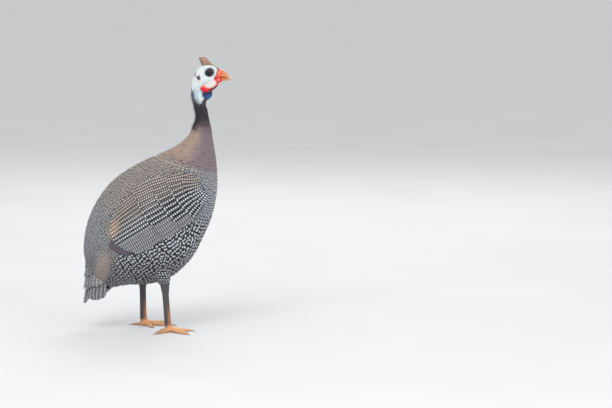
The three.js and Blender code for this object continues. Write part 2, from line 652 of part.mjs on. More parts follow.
function toeHeights(toe) {
  const low = toe.tip - SOLE * 0.7;
  return [toe.thick + 1.6 + toe.lift, toe.thick - SOLE + toe.lift * 0.55 + 0.4, low + 0.5, low];
}

// Toes and ankle about a pad, all cut off level below for the flats that the bird stands on
function makeFoot(leg) {
  const toes = TOES.map((toe, k) => {
    const rows = toe.plates * 2;
    const path = toePath(leg, k, 0, toe.length, toeHeights(toe));
    const size = (t) => lerp(toe.thick, toe.tip, t) * (1 + 0.07 * Math.cos(t * Math.PI * 6));
    const plate = (t, angle) => (Math.round(t * rows) % 2) * 0.3 * smooth(Math.cos(angle), 0, 0.6);
    return tube(path, (t) => [size(t) * 0.94, size(t)], 6, rows, plate);
  });
  const [x, y] = leg.foot;
  const top = new THREE.Vector3(x - ANKLE_BACK, y, ANKLE_Z);
  const bottom = new THREE.Vector3(x - 1, y, 3);
  const place = (t, angle) => {
    const [deep, wide] = SHANK.ankle.map((half) => half * lerp(1, 1.25, t));
    const spot = top.clone().lerp(bottom, t);
    return spot.add(new THREE.Vector3(deep * Math.cos(angle), wide * Math.sin(angle), 0));
  };
  const ankle = loft(10, 3, place, (t) => top.clone().lerp(bottom, t));
  const pad = ball([x, y, 3.4], [9.4, 8.6, 4.6], 10, 5);
  const floor = block([x - 90, y - 90, -20], [x + 90, y + 90, 0]);
  return union([ankle, pad, ...toes]).subtract(floor);
}

function makeClaw(leg, k) {
  const toe = TOES[k];
  const base = toeHeights(toe).at(-1);
  const size = toe.tip * 0.74;
  const heights = [base + 0.25, base + 0.5, base * 0.7 + 0.2, 1];
  const path = toePath(leg, k, toe.length + GAP, toe.length + GAP + toe.claw, heights);
  return tube(path, (t) => [size * lerp(0.8, 0.16, t), size * lerp(1, 0.2, t)], 6, 4);
}

// Everything together. The figure is moved so that the origin lies under the middle of its box.
const bird = new THREE.Group();
const figure = new THREE.Group();
bird.add(figure);
const headGrown = bodyStretch(0, CUT_JAW, HEAD_ROWS, { grow: GAP });
const throat = bodyStretch(CUT_JAW, CUT_MID_NECK, NECK_ROWS, { trim: GAP });
const throatGrown = bodyStretch(CUT_JAW, CUT_MID_NECK, NECK_ROWS, { grow: GAP });
const neck = bodyStretch(CUT_MID_NECK, CUT_MANTLE, NECK_ROWS, { trim: GAP });
const torso = bodyStretch(CUT_MANTLE, CUT_RUMP, TORSO_ROWS, { trim: GAP });
const torsoGrown = bodyStretch(CUT_MANTLE, CUT_RUMP, TORSO_ROWS, { grow: GAP, extend: GAP });
const wattleCutters = [headGrown, throatGrown, upperBill(GAP), lowerBill(GAP)];

figure.add(meshOf("head", makeHead(), COLOURS.skin));
figure.add(meshOf("casque", makeCasque(headGrown), COLOURS.horn));
figure.add(meshOf("bill_upper", makeUpperBill(), COLOURS.bill));
figure.add(meshOf("bill_lower", lowerBill(0), COLOURS.bill));
figure.add(meshOf("neck_upper", throat, COLOURS.skin));
figure.add(meshOf("neck_lower", neck, COLOURS.neck));
figure.add(meshOf("torso", torso, COLOURS.plumage));
figure.add(meshOf("tail", makeTail(torsoGrown), COLOURS.quill));
for (const [name, side] of [["left", 1], ["right", -1]]) {
  figure.add(meshOf(`eye_${name}`, eyeball(side, 0), COLOURS.eye));
  figure.add(meshOf(`wattle_${name}`, makeWattle(side, wattleCutters), COLOURS.wattle));
  figure.add(meshOf(`wing_${name}`, makeWing(side, torsoGrown), COLOURS.quill));
}
for (const leg of LEGS) {
  figure.add(meshOf(`thigh_${leg.side}`, makeThigh(leg, torsoGrown), COLOURS.plumage));
  figure.add(meshOf(`shank_${leg.side}`, makeShank(leg), COLOURS.shank));
  figure.add(meshOf(`foot_${leg.side}`, makeFoot(leg), COLOURS.toe));
  TOES.forEach((_, k) => figure.add(meshOf(`claw_${leg.side}_${k + 1}`, makeClaw(leg, k), COLOURS.claw)));
}
const middle = new THREE.Box3().setFromObject(figure).getCenter(new THREE.Vector3());
figure.position.set(-middle.x, -middle.y, 0);

export default bird;
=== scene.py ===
"""Looks of a life-size helmeted guinea fowl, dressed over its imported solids.

Shapes are worked out in millimetres in the bird's own frame, where +X is the way the bill points, +Y is the
bird's left, +Z is up and the floor is at zero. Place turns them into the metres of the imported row.
"""

import logging
import math
from dataclasses import dataclass
from enum import Enum
from typing import Callable, Iterable, Protocol

import bmesh
import bpy
import numpy as np
from mathutils import Matrix, Vector


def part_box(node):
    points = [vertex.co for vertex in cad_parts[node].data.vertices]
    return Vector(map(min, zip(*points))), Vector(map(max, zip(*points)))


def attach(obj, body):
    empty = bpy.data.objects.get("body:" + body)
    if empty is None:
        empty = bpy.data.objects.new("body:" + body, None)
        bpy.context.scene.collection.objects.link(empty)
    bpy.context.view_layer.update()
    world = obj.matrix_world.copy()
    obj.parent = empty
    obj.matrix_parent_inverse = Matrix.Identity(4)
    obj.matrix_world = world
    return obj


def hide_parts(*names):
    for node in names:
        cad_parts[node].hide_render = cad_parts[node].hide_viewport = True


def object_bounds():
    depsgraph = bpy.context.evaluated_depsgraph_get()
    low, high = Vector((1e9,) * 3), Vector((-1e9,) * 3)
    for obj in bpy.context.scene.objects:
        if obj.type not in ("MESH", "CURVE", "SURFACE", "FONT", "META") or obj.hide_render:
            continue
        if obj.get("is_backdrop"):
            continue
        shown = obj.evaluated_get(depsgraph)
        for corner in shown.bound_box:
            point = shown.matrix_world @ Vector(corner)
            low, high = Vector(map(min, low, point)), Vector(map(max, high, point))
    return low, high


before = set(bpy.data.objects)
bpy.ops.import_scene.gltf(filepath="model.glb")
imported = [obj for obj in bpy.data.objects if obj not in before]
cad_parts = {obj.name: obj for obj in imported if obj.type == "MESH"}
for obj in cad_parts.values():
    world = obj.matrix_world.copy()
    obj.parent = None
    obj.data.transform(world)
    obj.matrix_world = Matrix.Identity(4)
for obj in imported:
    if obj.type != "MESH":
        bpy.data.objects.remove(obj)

CAD_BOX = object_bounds()
LOG = logging.getLogger("guinea_fowl")

Array = np.ndarray
Pair = tuple[float, float]
Triple = tuple[float, float, float]
Colour = Triple
Knots = tuple[tuple[float, ...], ...]
Material = bpy.types.Material
Object = bpy.types.Object
Socket = bpy.types.NodeSocket
NodeTree = bpy.types.NodeTree
Node = bpy.types.Node
Mesh = bpy.types.Mesh
BMesh = bmesh.types.BMesh


class Slot(Enum):
    """The record's material slots."""

    SKIN = "skin"
    HORN = "horn"
    BILL = "bill"
    EYE = "eye"
    WATTLE = "wattle"
    NECK = "neck_feathers"
    PLUMAGE = "plumage"
    QUILLS = "quills"
    SHANK = "shank"
    TOE = "toe"
    CLAW = "claw"


class Side(Enum):
    """A side of the bird, with the sign of its Y."""

    LEFT = 1
    RIGHT = -1

    @property
    def word(self) -> str:
        """The side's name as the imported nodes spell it."""
        return self.name.lower()


def smooth(value: Array, low: float, high: float) -> Array:
    """Eases from 0 at low to 1 at high, a share for each value."""
    share = np.clip((np.asarray(value, float) - low) / (high - low), 0, 1)
    return share * share * (3 - 2 * share)


def mix(low: Array, high: Array, share: Array) -> Array:
    """Blends numbers, rows or colours.

    Args:
        low: One row, or a row for each share.
        high: One row, or a row for each share.
        share: How much of high each row takes.

    Returns:
        The blended rows.
    """
    low, high, share = (np.asarray(part, float) for part in (low, high, share))
    if share.ndim and any(end.ndim > 1 or end.ndim and len(end) != len(share) for end in (low, high)):
        share = share[:, None]
    return low + (high - low) * share


def unit(rows: Array) -> Array:
    """Makes each row one long."""
    return rows / np.maximum(np.linalg.norm(rows, axis=-1, keepdims=True), 1e-9)


def dots(one: Array, other: Array) -> Array:
    """The dot product of each pair of rows."""
    return np.einsum("ij,ij->i", one, other)


def ring(count: int, number: int) -> Array:
    """Angles evenly round a ring, each second ring turned by half a step."""
    return (np.arange(count) + 0.5 * (number % 2)) / count * 2 * np.pi


def line(at: Array, knots: Knots) -> Array:
    """Reads a line of straight runs between knots, each a place and its value."""
    return np.interp(at, *zip(*knots))


def spline(points: Array | Knots, share: Array) -> Array:
    """Reads a smooth curve that runs through points.

    Args:
        points: The points in order, one a row.
        share: Where to read, from 0 to 1, by the points' count.

    Returns:
        A row for each share.
    """
    points = np.asarray(points, float)
    last = len(points) - 1
    at = np.clip(share, 0, 1) * last
    index = np.minimum(at.astype(int), last - 1)
    rest = (at - index)[:, None]
    longer = np.vstack([2 * points[0] - points[1], points, 2 * points[-1] - points[-2]])
    before, start, end, after = (longer[index + step] for step in range(4))
    leave, arrive = (end - before) / 2, (after - start) / 2
    square = 3 * (end - start) - 2 * leave - arrive
    cube = 2 * (start - end) + leave + arrive
    return start + rest * (leave + rest * (square + rest * cube))


def heading(points: Array | Knots, share: Array, step: float = 1e-3) -> Array:
    """The direction of a spline at each share."""
    return unit(spline(points, np.clip(share + step, 0, 1)) - spline(points, np.clip(share - step, 0, 1)))


class Place:
    """Turns the bird's millimetres into the row's metres."""

    BILL_START_X = 127.3
    MILLIMETRES = 1000

    def __init__(self) -> None:
        """Finds the bird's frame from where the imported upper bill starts."""
        low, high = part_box("bill_upper")
        self.shift = np.array([low.x - self.BILL_START_X / self.MILLIMETRES, (low.y + high.y) / 2, 0])

    def metres(self, rows: Array) -> Array:
        """Rows of millimetres as metres of the row."""
        return np.asarray(rows, float) / self.MILLIMETRES + self.shift

    def millimetres(self, rows: Array) -> Array:
        """Rows of metres as the bird's millimetres."""
        return (rows - self.shift) * self.MILLIMETRES


PLACE = Place()


@dataclass(frozen=True)
class Station:
    """A section of the body: its back and front in the side view, its half breadth and its lean."""

    name: str
    back: Pair
    front: Pair
    half: float
    lean: float = 0.0


STATIONS = (
    Station("bill base", (127, 496), (127, 474), 7.8),
    Station("lore", (116, 502.5), (125.6, 471), 11.2, 0.1),
    Station("eye", (104.5, 503.5), (123.6, 468), 13.6, 0.08),
    Station("crown", (94.5, 500), (121.4, 464), 14, 0.05),
    Station("occiput", (86.5, 492.5), (119.2, 460), 13.6),
    Station("ear", (80.6, 483), (117.4, 455.6), 12.6),
    Station("jaw", (77.6, 471), (116, 450.6), 11.5),
    Station("throat", (76.8, 458), (113.6, 441.6), 10.6),
    Station("throat fold", (77.6, 445), (105, 435), 10),
    Station("upper neck", (80.2, 431), (104.4, 426), 9.7),
    Station("thin neck", (83.4, 416.5), (106.6, 413.5), 10),
    Station("lower neck", (84.6, 402.5), (109.4, 400), 11.6),
    Station("neck base", (80, 387), (112.8, 384), 15.4),
    Station("mantle", (68.4, 368), (116.2, 364), 22.5),
    Station("shoulder", (49, 351.5), (119.6, 343), 34),
    Station("upper breast", (19, 336.4), (123, 318), 49),
    Station("breast", (-15, 321.6), (124.6, 288), 61.5),
    Station("wing bow", (-49, 302.6), (122.4, 254), 70),
    Station("saddle", (-78.5, 279), (114.4, 217), 75.5),
    Station("flank", (-100.5, 250.6), (98.6, 179), 77.5),
    Station("belly", (-116.5, 220), (77, 138.4), 75.5),
    Station("thigh", (-126, 189), (42.5, 104), 69.5),
    Station("rump", (-129.6, 160), (2, 88), 59.5),
    Station("tail head", (-128, 136), (-42, 85), 45.5),
    Station("vent", (-120, 116), (-80, 80), 29),
    Station("vent end", (-110, 102), (-97, 88), 13),
)


class Surface(Protocol):
    """A surface with two parameters, on which feathers are laid."""

    def place(self, first: Array, second: Array, lift: Array) -> Array:
        """Points of the surface, moved out by lift."""


class BodyForm:
    """The body from bill to vent, as share of its stations and angle from the back line."""

    STEP = 1e-3

    def __init__(self) -> None:
        """Gathers the stations into arrays."""
        self.backs = np.array([s.back for s in STATIONS], float)
        self.fronts = np.array([s.front for s in STATIONS], float)
        self.widths = np.array([(s.half, s.lean) for s in STATIONS], float)

    @staticmethod
    def at(number: float) -> float:
        """The share of the stations at a number of them from the first."""
        return number / (len(STATIONS) - 1)

    @classmethod
    def share(cls, name: str) -> float:
        """The share of the stations at which one stands."""
        return cls.at([s.name for s in STATIONS].index(name))

    def middle(self, t: Array) -> Array:
        """The middle line at each share."""
        side = (spline(self.backs, t) + spline(self.fronts, t)) / 2
        return np.column_stack([side[:, 0], np.zeros(len(side)), side[:, 1]])

    def point(self, t: Array, angle: Array) -> Array:
        """The surface at each share and angle.

        Args:
            t: Shares of the stations.
            angle: Turns from the back line towards the bird's left, in radians.

        Returns:
            Points in millimetres.
        """
        back, front, widths = (spline(part, t) for part in (self.backs, self.fronts, self.widths))
        side = (back + front) / 2 + (back - front) / 2 * np.cos(angle)[:, None]
        across = widths[:, 0] * np.sin(angle) * (1 + widths[:, 1] * np.cos(angle))
        return np.column_stack([side[:, 0], across, side[:, 1]])

    def slopes(self, t: Array, angle: Array) -> tuple[Array, Array]:
        """How the surface moves with the share and with the angle.

        Args:
            t: Shares of the stations.
            angle: Angles from the back line.

        Returns:
            The move for the whole share and that for one radian.
        """
        low, high = np.clip(t - self.STEP, 0, 1), np.clip(t + self.STEP, 0, 1)
        along = (self.point(high, angle) - self.point(low, angle)) / (high - low)[:, None]
        turn = self.point(t, angle + self.STEP) - self.point(t, angle - self.STEP)
        return along, turn / (2 * self.STEP)

    def normal(self, t: Array, angle: Array) -> Array:
        """The outward direction at each share and angle.

        Args:
            t: Shares of the stations.
            angle: Angles from the back line.

        Returns:
            Directions of length one.
        """
        along, around = self.slopes(t, angle)
        out = unit(np.cross(along, around))
        inward = dots(out, self.point(t, angle) - self.middle(t)) < 0
        return np.where(inward[:, None], -out, out)

    def place(self, first: Array, second: Array, lift: Array) -> Array:
        """Points of the surface at share first and angle second, moved out by lift."""
        first = np.clip(first, 0, 1)
        return self.point(first, second) + self.normal(first, second) * lift[:, None]

    def steps(self, t: Array, angle: Array, lie: Array) -> tuple[Array, Array]:
        """How share and angle change for each millimetre along and across a lie.

        Args:
            t: Shares of the stations.
            angle: Angles from the back line.
            lie: The direction that the feathers there point, one a row.

        Returns:
            The change of share and angle along the lie, and the same across it.
        """
        down, around = self.slopes(t, angle)
        out = self.normal(t, angle)
        along = unit(lie - out * dots(lie, out)[:, None])
        square = np.empty((len(t), 2, 2))
        square[:, 0, 0] = dots(down, down)
        square[:, 1, 1] = dots(around, around)
        square[:, 0, 1] = square[:, 1, 0] = dots(down, around)
        found = []
        for way in (along, np.cross(out, along)):
            right = np.stack([dots(down, way), dots(around, way)], axis=1)
            found.append(np.linalg.solve(square, right[:, :, None])[:, :, 0])
        return found[0], found[1]


BODY = BodyForm()


@dataclass(frozen=True)
class FlankForm:
    """One side of the body, read by a place in the side view."""

    side: Side
    low: float = 0.0
    high: float = 1.0
    turns: int = 40
    rim: float = 0.97

    def spot(self, x: Array, z: Array) -> tuple[Array, Array]:
        """The body's share and angle behind places of the side view.

        Args:
            x: How far forward each is.
            z: How high each is.

        Returns:
            The shares, found by halving, and the angles.
        """
        low = np.full(len(x), self.low)
        high = np.full(len(x), self.high)
        here = np.column_stack([x, z])
        for _ in range(self.turns):
            t = (low + high) / 2
            back, front = spline(BODY.backs, t), spline(BODY.fronts, t)
            run, reach = front - back, here - back
            before = run[:, 0] * reach[:, 1] - run[:, 1] * reach[:, 0] < 0
            low, high = np.where(before, t, low), np.where(before, high, t)
        back, front = spline(BODY.backs, low), spline(BODY.fronts, low)
        half = (back - front) / 2
        share = dots(here - (back + front) / 2, half) / dots(half, half)
        return low, np.arccos(np.clip(share, -self.rim, self.rim)) * self.side.value

    def place(self, first: Array, second: Array, lift: Array) -> Array:
        """Points of the flank at x first and z second, moved out by lift."""
        return BODY.place(*self.spot(first, second), lift)


@dataclass(frozen=True)
class WingForm:
    """The folded wing: first runs from its bend to its tip, second from its lower edge upwards."""

    side: Side
    bend: Pair = (93, 262)
    slope: float = math.radians(29)
    thick: float = 5.2
    flesh_start: Pair = (-20, -34)
    flesh_size: Pair = (205, 130)
    fullness: float = 0.7

    def view(self, p: Array, q: Array) -> tuple[Array, Array]:
        """Places of the wing in the side view."""
        c, s = math.cos(self.slope), math.sin(self.slope)
        return self.bend[0] - c * p - s * q, self.bend[1] - s * p + c * q

    def reading(self, x: Array, z: Array) -> tuple[Array, Array]:
        """The wing's own first and second for places of the side view."""
        c, s = math.cos(self.slope), math.sin(self.slope)
        over, up = self.bend[0] - x, z - self.bend[1]
        return c * over - s * up, s * over + c * up

    def bulk(self, p: Array, q: Array) -> Array:
        """The thickness of the wing's flesh."""
        share = zip((p, q), self.flesh_start, self.flesh_size)
        along, across = (np.sin(np.pi * np.clip((at - start) / size, 0, 1)) for at, start, size in share)
        return self.thick * (along * across) ** self.fullness

    def place(self, first: Array, second: Array, lift: Array) -> Array:
        """Points of the wing, moved out by lift."""
        flank = FlankForm(self.side, BodyForm.share("jaw"), 1)
        return flank.place(*self.view(first, second), lift + self.bulk(first, second))


@dataclass(frozen=True)
class FanForm:
    """A fan of tail feathers: first runs along its ridge, second turns round its arch."""

    root: Pair
    tip: Pair
    across: float
    arch: float
    facing: int

    def ridge(self, first: Array, fall: Array) -> Array:
        """Places of the side view along the ridge, and in from it by fall.

        Args:
            first: How far each is from the root.
            fall: How far each is inside the ridge.

        Returns:
            Forward and upward places, a row for each.
        """
        root, tip = np.array(self.root, float), np.array(self.tip, float)
        along = (tip - root) / np.linalg.norm(tip - root)
        out = np.array([along[1], -along[0]]) * self.facing
        return root + along * first[:, None] - out * fall[:, None]

    def place(self, first: Array, second: Array, lift: Array) -> Array:
        """Points of the fan, moved out by lift."""
        side = self.ridge(first, (self.arch + lift) * (1 - np.cos(second)) - lift)
        return np.column_stack([side[:, 0], (self.across + lift) * np.sin(second), side[:, 1]])


@dataclass(frozen=True)
class Leg:
    """The stance of one leg: its hock, its foot and the heading of its toes, in degrees from +X."""

    side: Side
    hock: Pair
    foot: Pair
    toes: tuple[float, float, float, float]


LEGS = (
    Leg(Side.RIGHT, (26, -40), (35.6, -42), (2, -50, -126, 132)),
    Leg(Side.LEFT, (-21, 40), (-16, 42), (-66, -14, 40, 176)),
)


@dataclass(frozen=True)
class ThighForm:
    """The feathered thigh: first is the share down to the hock, second the turn from its front."""

    leg: Leg
    top: Triple = (4, 32, 150)
    top_half: Pair = (40, 26)
    hock_half: Pair = (10.5, 8.6)
    hock_z: float = 88.3
    sway: float = 0.8
    taper: float = 0.8

    def place(self, first: Array, second: Array, lift: Array) -> Array:
        """Points of the thigh.

        Args:
            first: Shares down to the hock.
            second: Turns from the front.
            lift: How far each point is moved out.

        Returns:
            Points in millimetres.
        """
        shift = (self.leg.hock[0] - LEGS[0].hock[0]) * self.sway
        top = (self.top[0] + shift, self.top[1] * self.leg.side.value, self.top[2])
        middle = mix(top, (*self.leg.hock, self.hock_z), first)
        reach = mix(self.top_half, self.hock_half, np.clip(first, 0, 1) ** self.taper) + lift[:, None]
        turn = np.column_stack([np.cos(second) * reach[:, 0], np.sin(second) * reach[:, 1]])
        return middle + np.column_stack([turn, np.zeros(len(middle))])


def thin_slab(columns: int, rows: int) -> tuple[BMesh, Array, Array, Array]:
    """A thin closed slab on a grid.

    Args:
        columns: Faces across.
        rows: Faces along.

    Returns:
        The slab, and for each vertex its share along, its place across from -1 to 1, and 1 on the upper face.
    """
    bm = bmesh.new()
    bmesh.ops.create_grid(bm, x_segments=columns, y_segments=rows, size=1)
    bmesh.ops.solidify(bm, geom=bm.faces[:], thickness=0.5)
    bmesh.ops.recalc_face_normals(bm, faces=bm.faces[:])
    across, along, height = np.array([v.co for v in bm.verts]).T
    outer = (height > (height.max() + height.min()) / 2).astype(float)
    return bm, (along + 1) / 2, across, outer


@dataclass
class Shape:
    """The slab from which each feather of a piece is bent, as places of its vertices and its faces."""

    first: Array
    second: Array
    outer: Array
    faces: Array

    @classmethod
    def slab(cls, columns: int, rows: int) -> "Shape":
        """The shape of a thin slab with faces across and along."""
        bm, first, second, outer = thin_slab(columns, rows)
        faces = np.array([[v.index for v in f.verts] for f in bm.faces])
        bm.free()
        return cls(first, second, outer, faces)


def make_mesh(name: str, points: Array, faces: Array) -> Mesh:
    """Makes a smooth mesh of four-sided faces.

    Args:
        name: The mesh's name.
        points: Its vertices in millimetres.
        faces: Four vertex numbers for each face.

    Returns:
        The mesh, in the row's metres.
    """
    mesh = bpy.data.meshes.new(name)
    mesh.vertices.add(len(points))
    mesh.vertices.foreach_set("co", PLACE.metres(points).ravel())
    mesh.loops.add(faces.size)
    mesh.loops.foreach_set("vertex_index", faces.ravel())
    mesh.polygons.add(len(faces))
    mesh.polygons.foreach_set("loop_start", np.arange(0, faces.size, faces.shape[1]))
    mesh.update(calc_edges=True)
    mesh.shade_smooth()
    return mesh


def set_colour(mesh: Mesh, name: str, rows: Array) -> None:
    """Keeps a colour for each vertex as an attribute."""
    layer = mesh.attributes.new(name, "FLOAT_COLOR", "POINT")
    layer.data.foreach_set("color", np.column_stack([rows, np.ones(len(rows))]).ravel())


def set_vector(mesh: Mesh, name: str, rows: Array) -> None:
    """Keeps three numbers for each vertex as an attribute."""
    mesh.attributes.new(name, "FLOAT_VECTOR", "POINT").data.foreach_set("vector", rows.ravel())


def set_map(mesh: Mesh, name: str, rows: Array) -> None:
    """Keeps a UV map, given by vertex."""
    corners = np.empty(len(mesh.loops), int)
    mesh.loops.foreach_get("vertex_index", corners)
    mesh.uv_layers.new(name=name).data.foreach_set("uv", rows[corners].ravel())


def vertices(mesh: Mesh) -> Array:
    """The vertices of a mesh in millimetres of the bird's frame."""
    rows = np.empty(len(mesh.vertices) * 3)
    mesh.vertices.foreach_get("co", rows)
    return PLACE.millimetres(rows.reshape(-1, 3))


def link(name: str, data: bpy.types.ID) -> Object:
    """Puts an object with the data into the scene."""
    made = bpy.data.objects.new(name, data)
    bpy.context.scene.collection.objects.link(made)
    return made


def add_piece(mesh: Mesh, finish: Material, slot: Slot, *nodes: str) -> Object:
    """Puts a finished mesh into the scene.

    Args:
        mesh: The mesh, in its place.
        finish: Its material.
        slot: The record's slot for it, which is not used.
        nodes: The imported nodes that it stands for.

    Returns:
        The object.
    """
    piece = link(mesh.name, mesh)
    mesh.materials.append(finish)
    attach(piece, "root")
    if nodes:
        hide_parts(*nodes)
    LOG.info("%s: %d faces", piece.name, len(mesh.polygons))
    return piece


def add_tinted(mesh: Mesh, tint: Array, finish: Material, slot: Slot, *nodes: str) -> Object:
    """Puts a mesh with a tint for each vertex into the scene."""
    set_colour(mesh, "Tint", tint)
    return add_piece(mesh, finish, slot, *nodes)


def bend(bm: BMesh, points: Array) -> BMesh:
    """Moves the vertices to points and turns the faces outwards."""
    for vertex, point in zip(bm.verts, points):
        vertex.co = point
    bmesh.ops.recalc_face_normals(bm, faces=bm.faces[:])
    return bm


def loft(sides: int, rows: int, place: Callable[[Array, Array], Array]) -> BMesh:
    """Shapes a closed drum into a loft.

    Args:
        sides: Faces around.
        rows: Faces along.
        place: Gives points in millimetres for shares from 0 to 1 along and angles around.

    Returns:
        The loft in millimetres, its ends closed round a middle vertex.
    """
    bm = bmesh.new()
    bmesh.ops.create_cone(bm, cap_ends=True, cap_tris=True, segments=sides, radius1=1, radius2=1, depth=1)
    upright = [e for e in bm.edges if abs(e.verts[0].co.z - e.verts[1].co.z) > 0.5]
    bmesh.ops.subdivide_edges(bm, edges=upright, cuts=rows - 1, use_grid_fill=True)
    drum = np.array([v.co for v in bm.verts])
    t = 0.5 - drum[:, 2]
    angle = np.arctan2(drum[:, 1], drum[:, 0])
    points = place(t, angle)
    centre = (points + place(t, angle + np.pi)) / 2
    on_axis = np.hypot(drum[:, 0], drum[:, 1]) < 0.5
    return bend(bm, np.where(on_axis[:, None], centre, points))


def ball(at: Triple, size: Triple, sides: int) -> BMesh:
    """An oval ball in millimetres, with faces around."""
    bm = bmesh.new()
    bmesh.ops.create_uvsphere(bm, u_segments=sides, v_segments=sides * 2 // 3, radius=1)
    bmesh.ops.scale(bm, vec=size, verts=bm.verts[:])
    bmesh.ops.translate(bm, vec=at, verts=bm.verts[:])
    return bm


def slab(columns: int, rows: int, place: Callable[[Array, Array, Array], Array]) -> BMesh:
    """A bent slab in millimetres.

    Args:
        columns: Faces across.
        rows: Faces along.
        place: Gives points for shares along, places across from -1 to 1, and 1 for the outer face.

    Returns:
        The slab.
    """
    bm, *grid = thin_slab(columns, rows)
    return bend(bm, place(*grid))


def join(name: str, *shapes: BMesh) -> Mesh:
    """Makes one smooth mesh from shapes.

    Args:
        name: The mesh's name.
        shapes: The shapes in millimetres, which are freed.

    Returns:
        The mesh, in the row's metres.
    """
    whole = bmesh.new()
    for shape in shapes:
        part = bpy.data.meshes.new(name)
        shape.to_mesh(part)
        shape.free()
        whole.from_mesh(part)
        bpy.data.meshes.remove(part)
    for vertex in whole.verts:
        vertex.co = PLACE.metres(vertex.co)
    mesh = bpy.data.meshes.new(name)
    whole.to_mesh(mesh)
    whole.free()
    mesh.shade_smooth()
    return mesh


def fuse(mesh: Mesh, voxel: float, turns: int) -> Mesh:
    """Fuses the closed shapes of a mesh into one skin.

    Args:
        mesh: The mesh of shapes that reach into one another.
        voxel: The size of the new faces in metres.
        turns: How many times the skin is smoothed.

    Returns:
        The fused mesh.
    """
    name = mesh.name
    whole = link(name, mesh)
    remesh = whole.modifiers.new("Fuse", "REMESH")
    remesh.mode = "VOXEL"
    remesh.voxel_size = voxel
    calm = whole.modifiers.new("Calm", "SMOOTH")
    calm.factor = 0.5
    calm.iterations = turns
    ready = whole.evaluated_get(bpy.context.evaluated_depsgraph_get())
    fused = bpy.data.meshes.new_from_object(ready)
    bpy.data.objects.remove(whole)
    bpy.data.meshes.remove(mesh)
    fused.name = name
    fused.shade_smooth()
    return fused


@dataclass(frozen=True)
class Zone:
    """A patch of tint on the side view: its middle, its reach, its colour, its edge, turn and strength."""

    at: Pair
    reach: Pair
    tint: Colour
    edge: float = 0.25
    turn: float = 0.0
    most: float = 1.0

    def share(self, points: Array) -> Array:
        """How much each point takes of the tint."""
        c, s = math.cos(math.radians(self.turn)), math.sin(math.radians(self.turn))
        over, up = points[:, 0] - self.at[0], points[:, 2] - self.at[1]
        far = np.hypot((c * over + s * up) / self.reach[0], (c * up - s * over) / self.reach[1])
        return (1 - smooth(far, 1 - self.edge, 1 + self.edge)) * self.most


def layered(base: Colour | Array, count: int, layers: Iterable[tuple[Colour, Array]]) -> Array:
    """Lays tints over a ground.

    Args:
        base: The ground, as one colour or a row for each place.
        count: How many places there are.
        layers: Each tint with the share of it that each place takes, the lowest first.

    Returns:
        The colour of each place.
    """
    rows = np.broadcast_to(np.asarray(base, float), (count, 3))
    for tint, share in layers:
        rows = mix(rows, tint, share)
    return rows


def zoned(base: Colour | Array, points: Array, zones: Iterable[Zone]) -> Array:
    """Lays patches of tint over a ground at points."""
    return layered(base, len(points), ((zone.tint, zone.share(points)) for zone in zones))


@dataclass
class Look:
    """What feathers show, a row for each: their ground, spots, spot size, bars and the spots' distances.

    A value that all the feathers share is given once.
    """

    count: int
    ground: Array | Colour
    spot: Array | Colour
    radius: Array | float
    bars: Array | float
    pitch: Array | Pair

    def __post_init__(self) -> None:
        """Makes a row for each feather of every value."""
        for name, size in (("ground", (3,)), ("spot", (3,)), ("radius", ()), ("bars", ()), ("pitch", (2,))):
            setattr(self, name, np.broadcast_to(np.asarray(getattr(self, name), float), (self.count, *size)))

    def take(self, keep: Array) -> "Look":
        """The rows that are kept."""
        rows = (self.ground, self.spot, self.radius, self.bars, self.pitch)
        return Look(len(keep), *(row[keep] for row in rows))


@dataclass(frozen=True)
class Markings:
    """The colours of the plumage and where they change over the bird, in its millimetres."""

    night: Colour = (0.016, 0.016, 0.020)
    white: Colour = (0.60, 0.63, 0.68)
    grizzle: Colour = (0.085, 0.072, 0.064)
    ash: Colour = (0.060, 0.060, 0.066)
    pale: Colour = (0.50, 0.45, 0.41)
    silver: Colour = (0.48, 0.49, 0.52)
    mauve: Colour = (0.200, 0.150, 0.172)
    tan: Colour = (0.330, 0.235, 0.190)
    soot: Colour = (0.030, 0.024, 0.032)
    rear_x: Pair = (30, 110)
    rear_z: Pair = (-300, -220)
    high_z: Pair = (262, 312)
    plain_z: Pair = (308, 336)
    soot_z: Pair = (384, 402)
    # heights over which the painted shade on the lower spots fades out
    shade_z: Pair = (105, 185)
    breast_z: Pair = (200, 250)
    wide_pitch: float = 7.2
    fine_pitch: float = 4.3
    breast_pitch: float = 4.4
    spot_size: Pair = (0.28, 0.30)

    def body(self, spot: Array, back: Array) -> Look:
        """The look of body feathers.

        Args:
            spot: Places on the body, in millimetres.
            back: The cosine of the turn from the back line, a number for each place.

        Returns:
            The look of a feather at each place.
        """
        x, _, z = spot.T
        rear = smooth(-x, *self.rear_x) * smooth(-z, *self.rear_z)
        high = smooth(z, *self.high_z)
        fine = np.maximum(smooth(back + 0.6 * rear, -0.05, 0.6), high)
        plain = smooth(z - 15 * back, *self.plain_z)
        nape = smooth(back, -0.35, 0.35)
        front = smooth(-back, 0.2, 0.8) * smooth(z, *self.breast_z)
        grey = mix(self.grizzle, self.ash, rear)
        ground = layered(self.night, len(x), (
            (grey, fine * mix(1.0, 0.75, high * (back < 0.3))),
            (mix(self.mauve, self.tan, nape), plain),
            (self.soot, smooth(z, *self.soot_z) * (1 - 0.3 * nape)),
        ))
        light = mix(self.pale, self.silver, np.maximum(rear, 1 - nape))
        # painted shade: the spots are darker towards the belly, as under the body in shadow
        shade = mix(0.55, 1.0, smooth(z, *self.shade_z))[:, None]
        pitch = mix(mix(self.wide_pitch, self.fine_pitch, fine), self.breast_pitch, front)
        radius = mix(*self.spot_size, fine) * (1 - smooth(plain, 0.3, 0.9))
        bars = np.maximum(0.7 * front, 0.2 * fine) * (1 - plain)
        return Look(len(x), ground, mix(self.white, light, fine) * shade, radius, bars, pitch[:, None])

    @staticmethod
    def plain(count: int, ground: Colour | Array) -> Look:
        """The look of feathers without spots."""
        return Look(count, ground, ground, 0, 0, (1, 1))


MARKS = Markings()


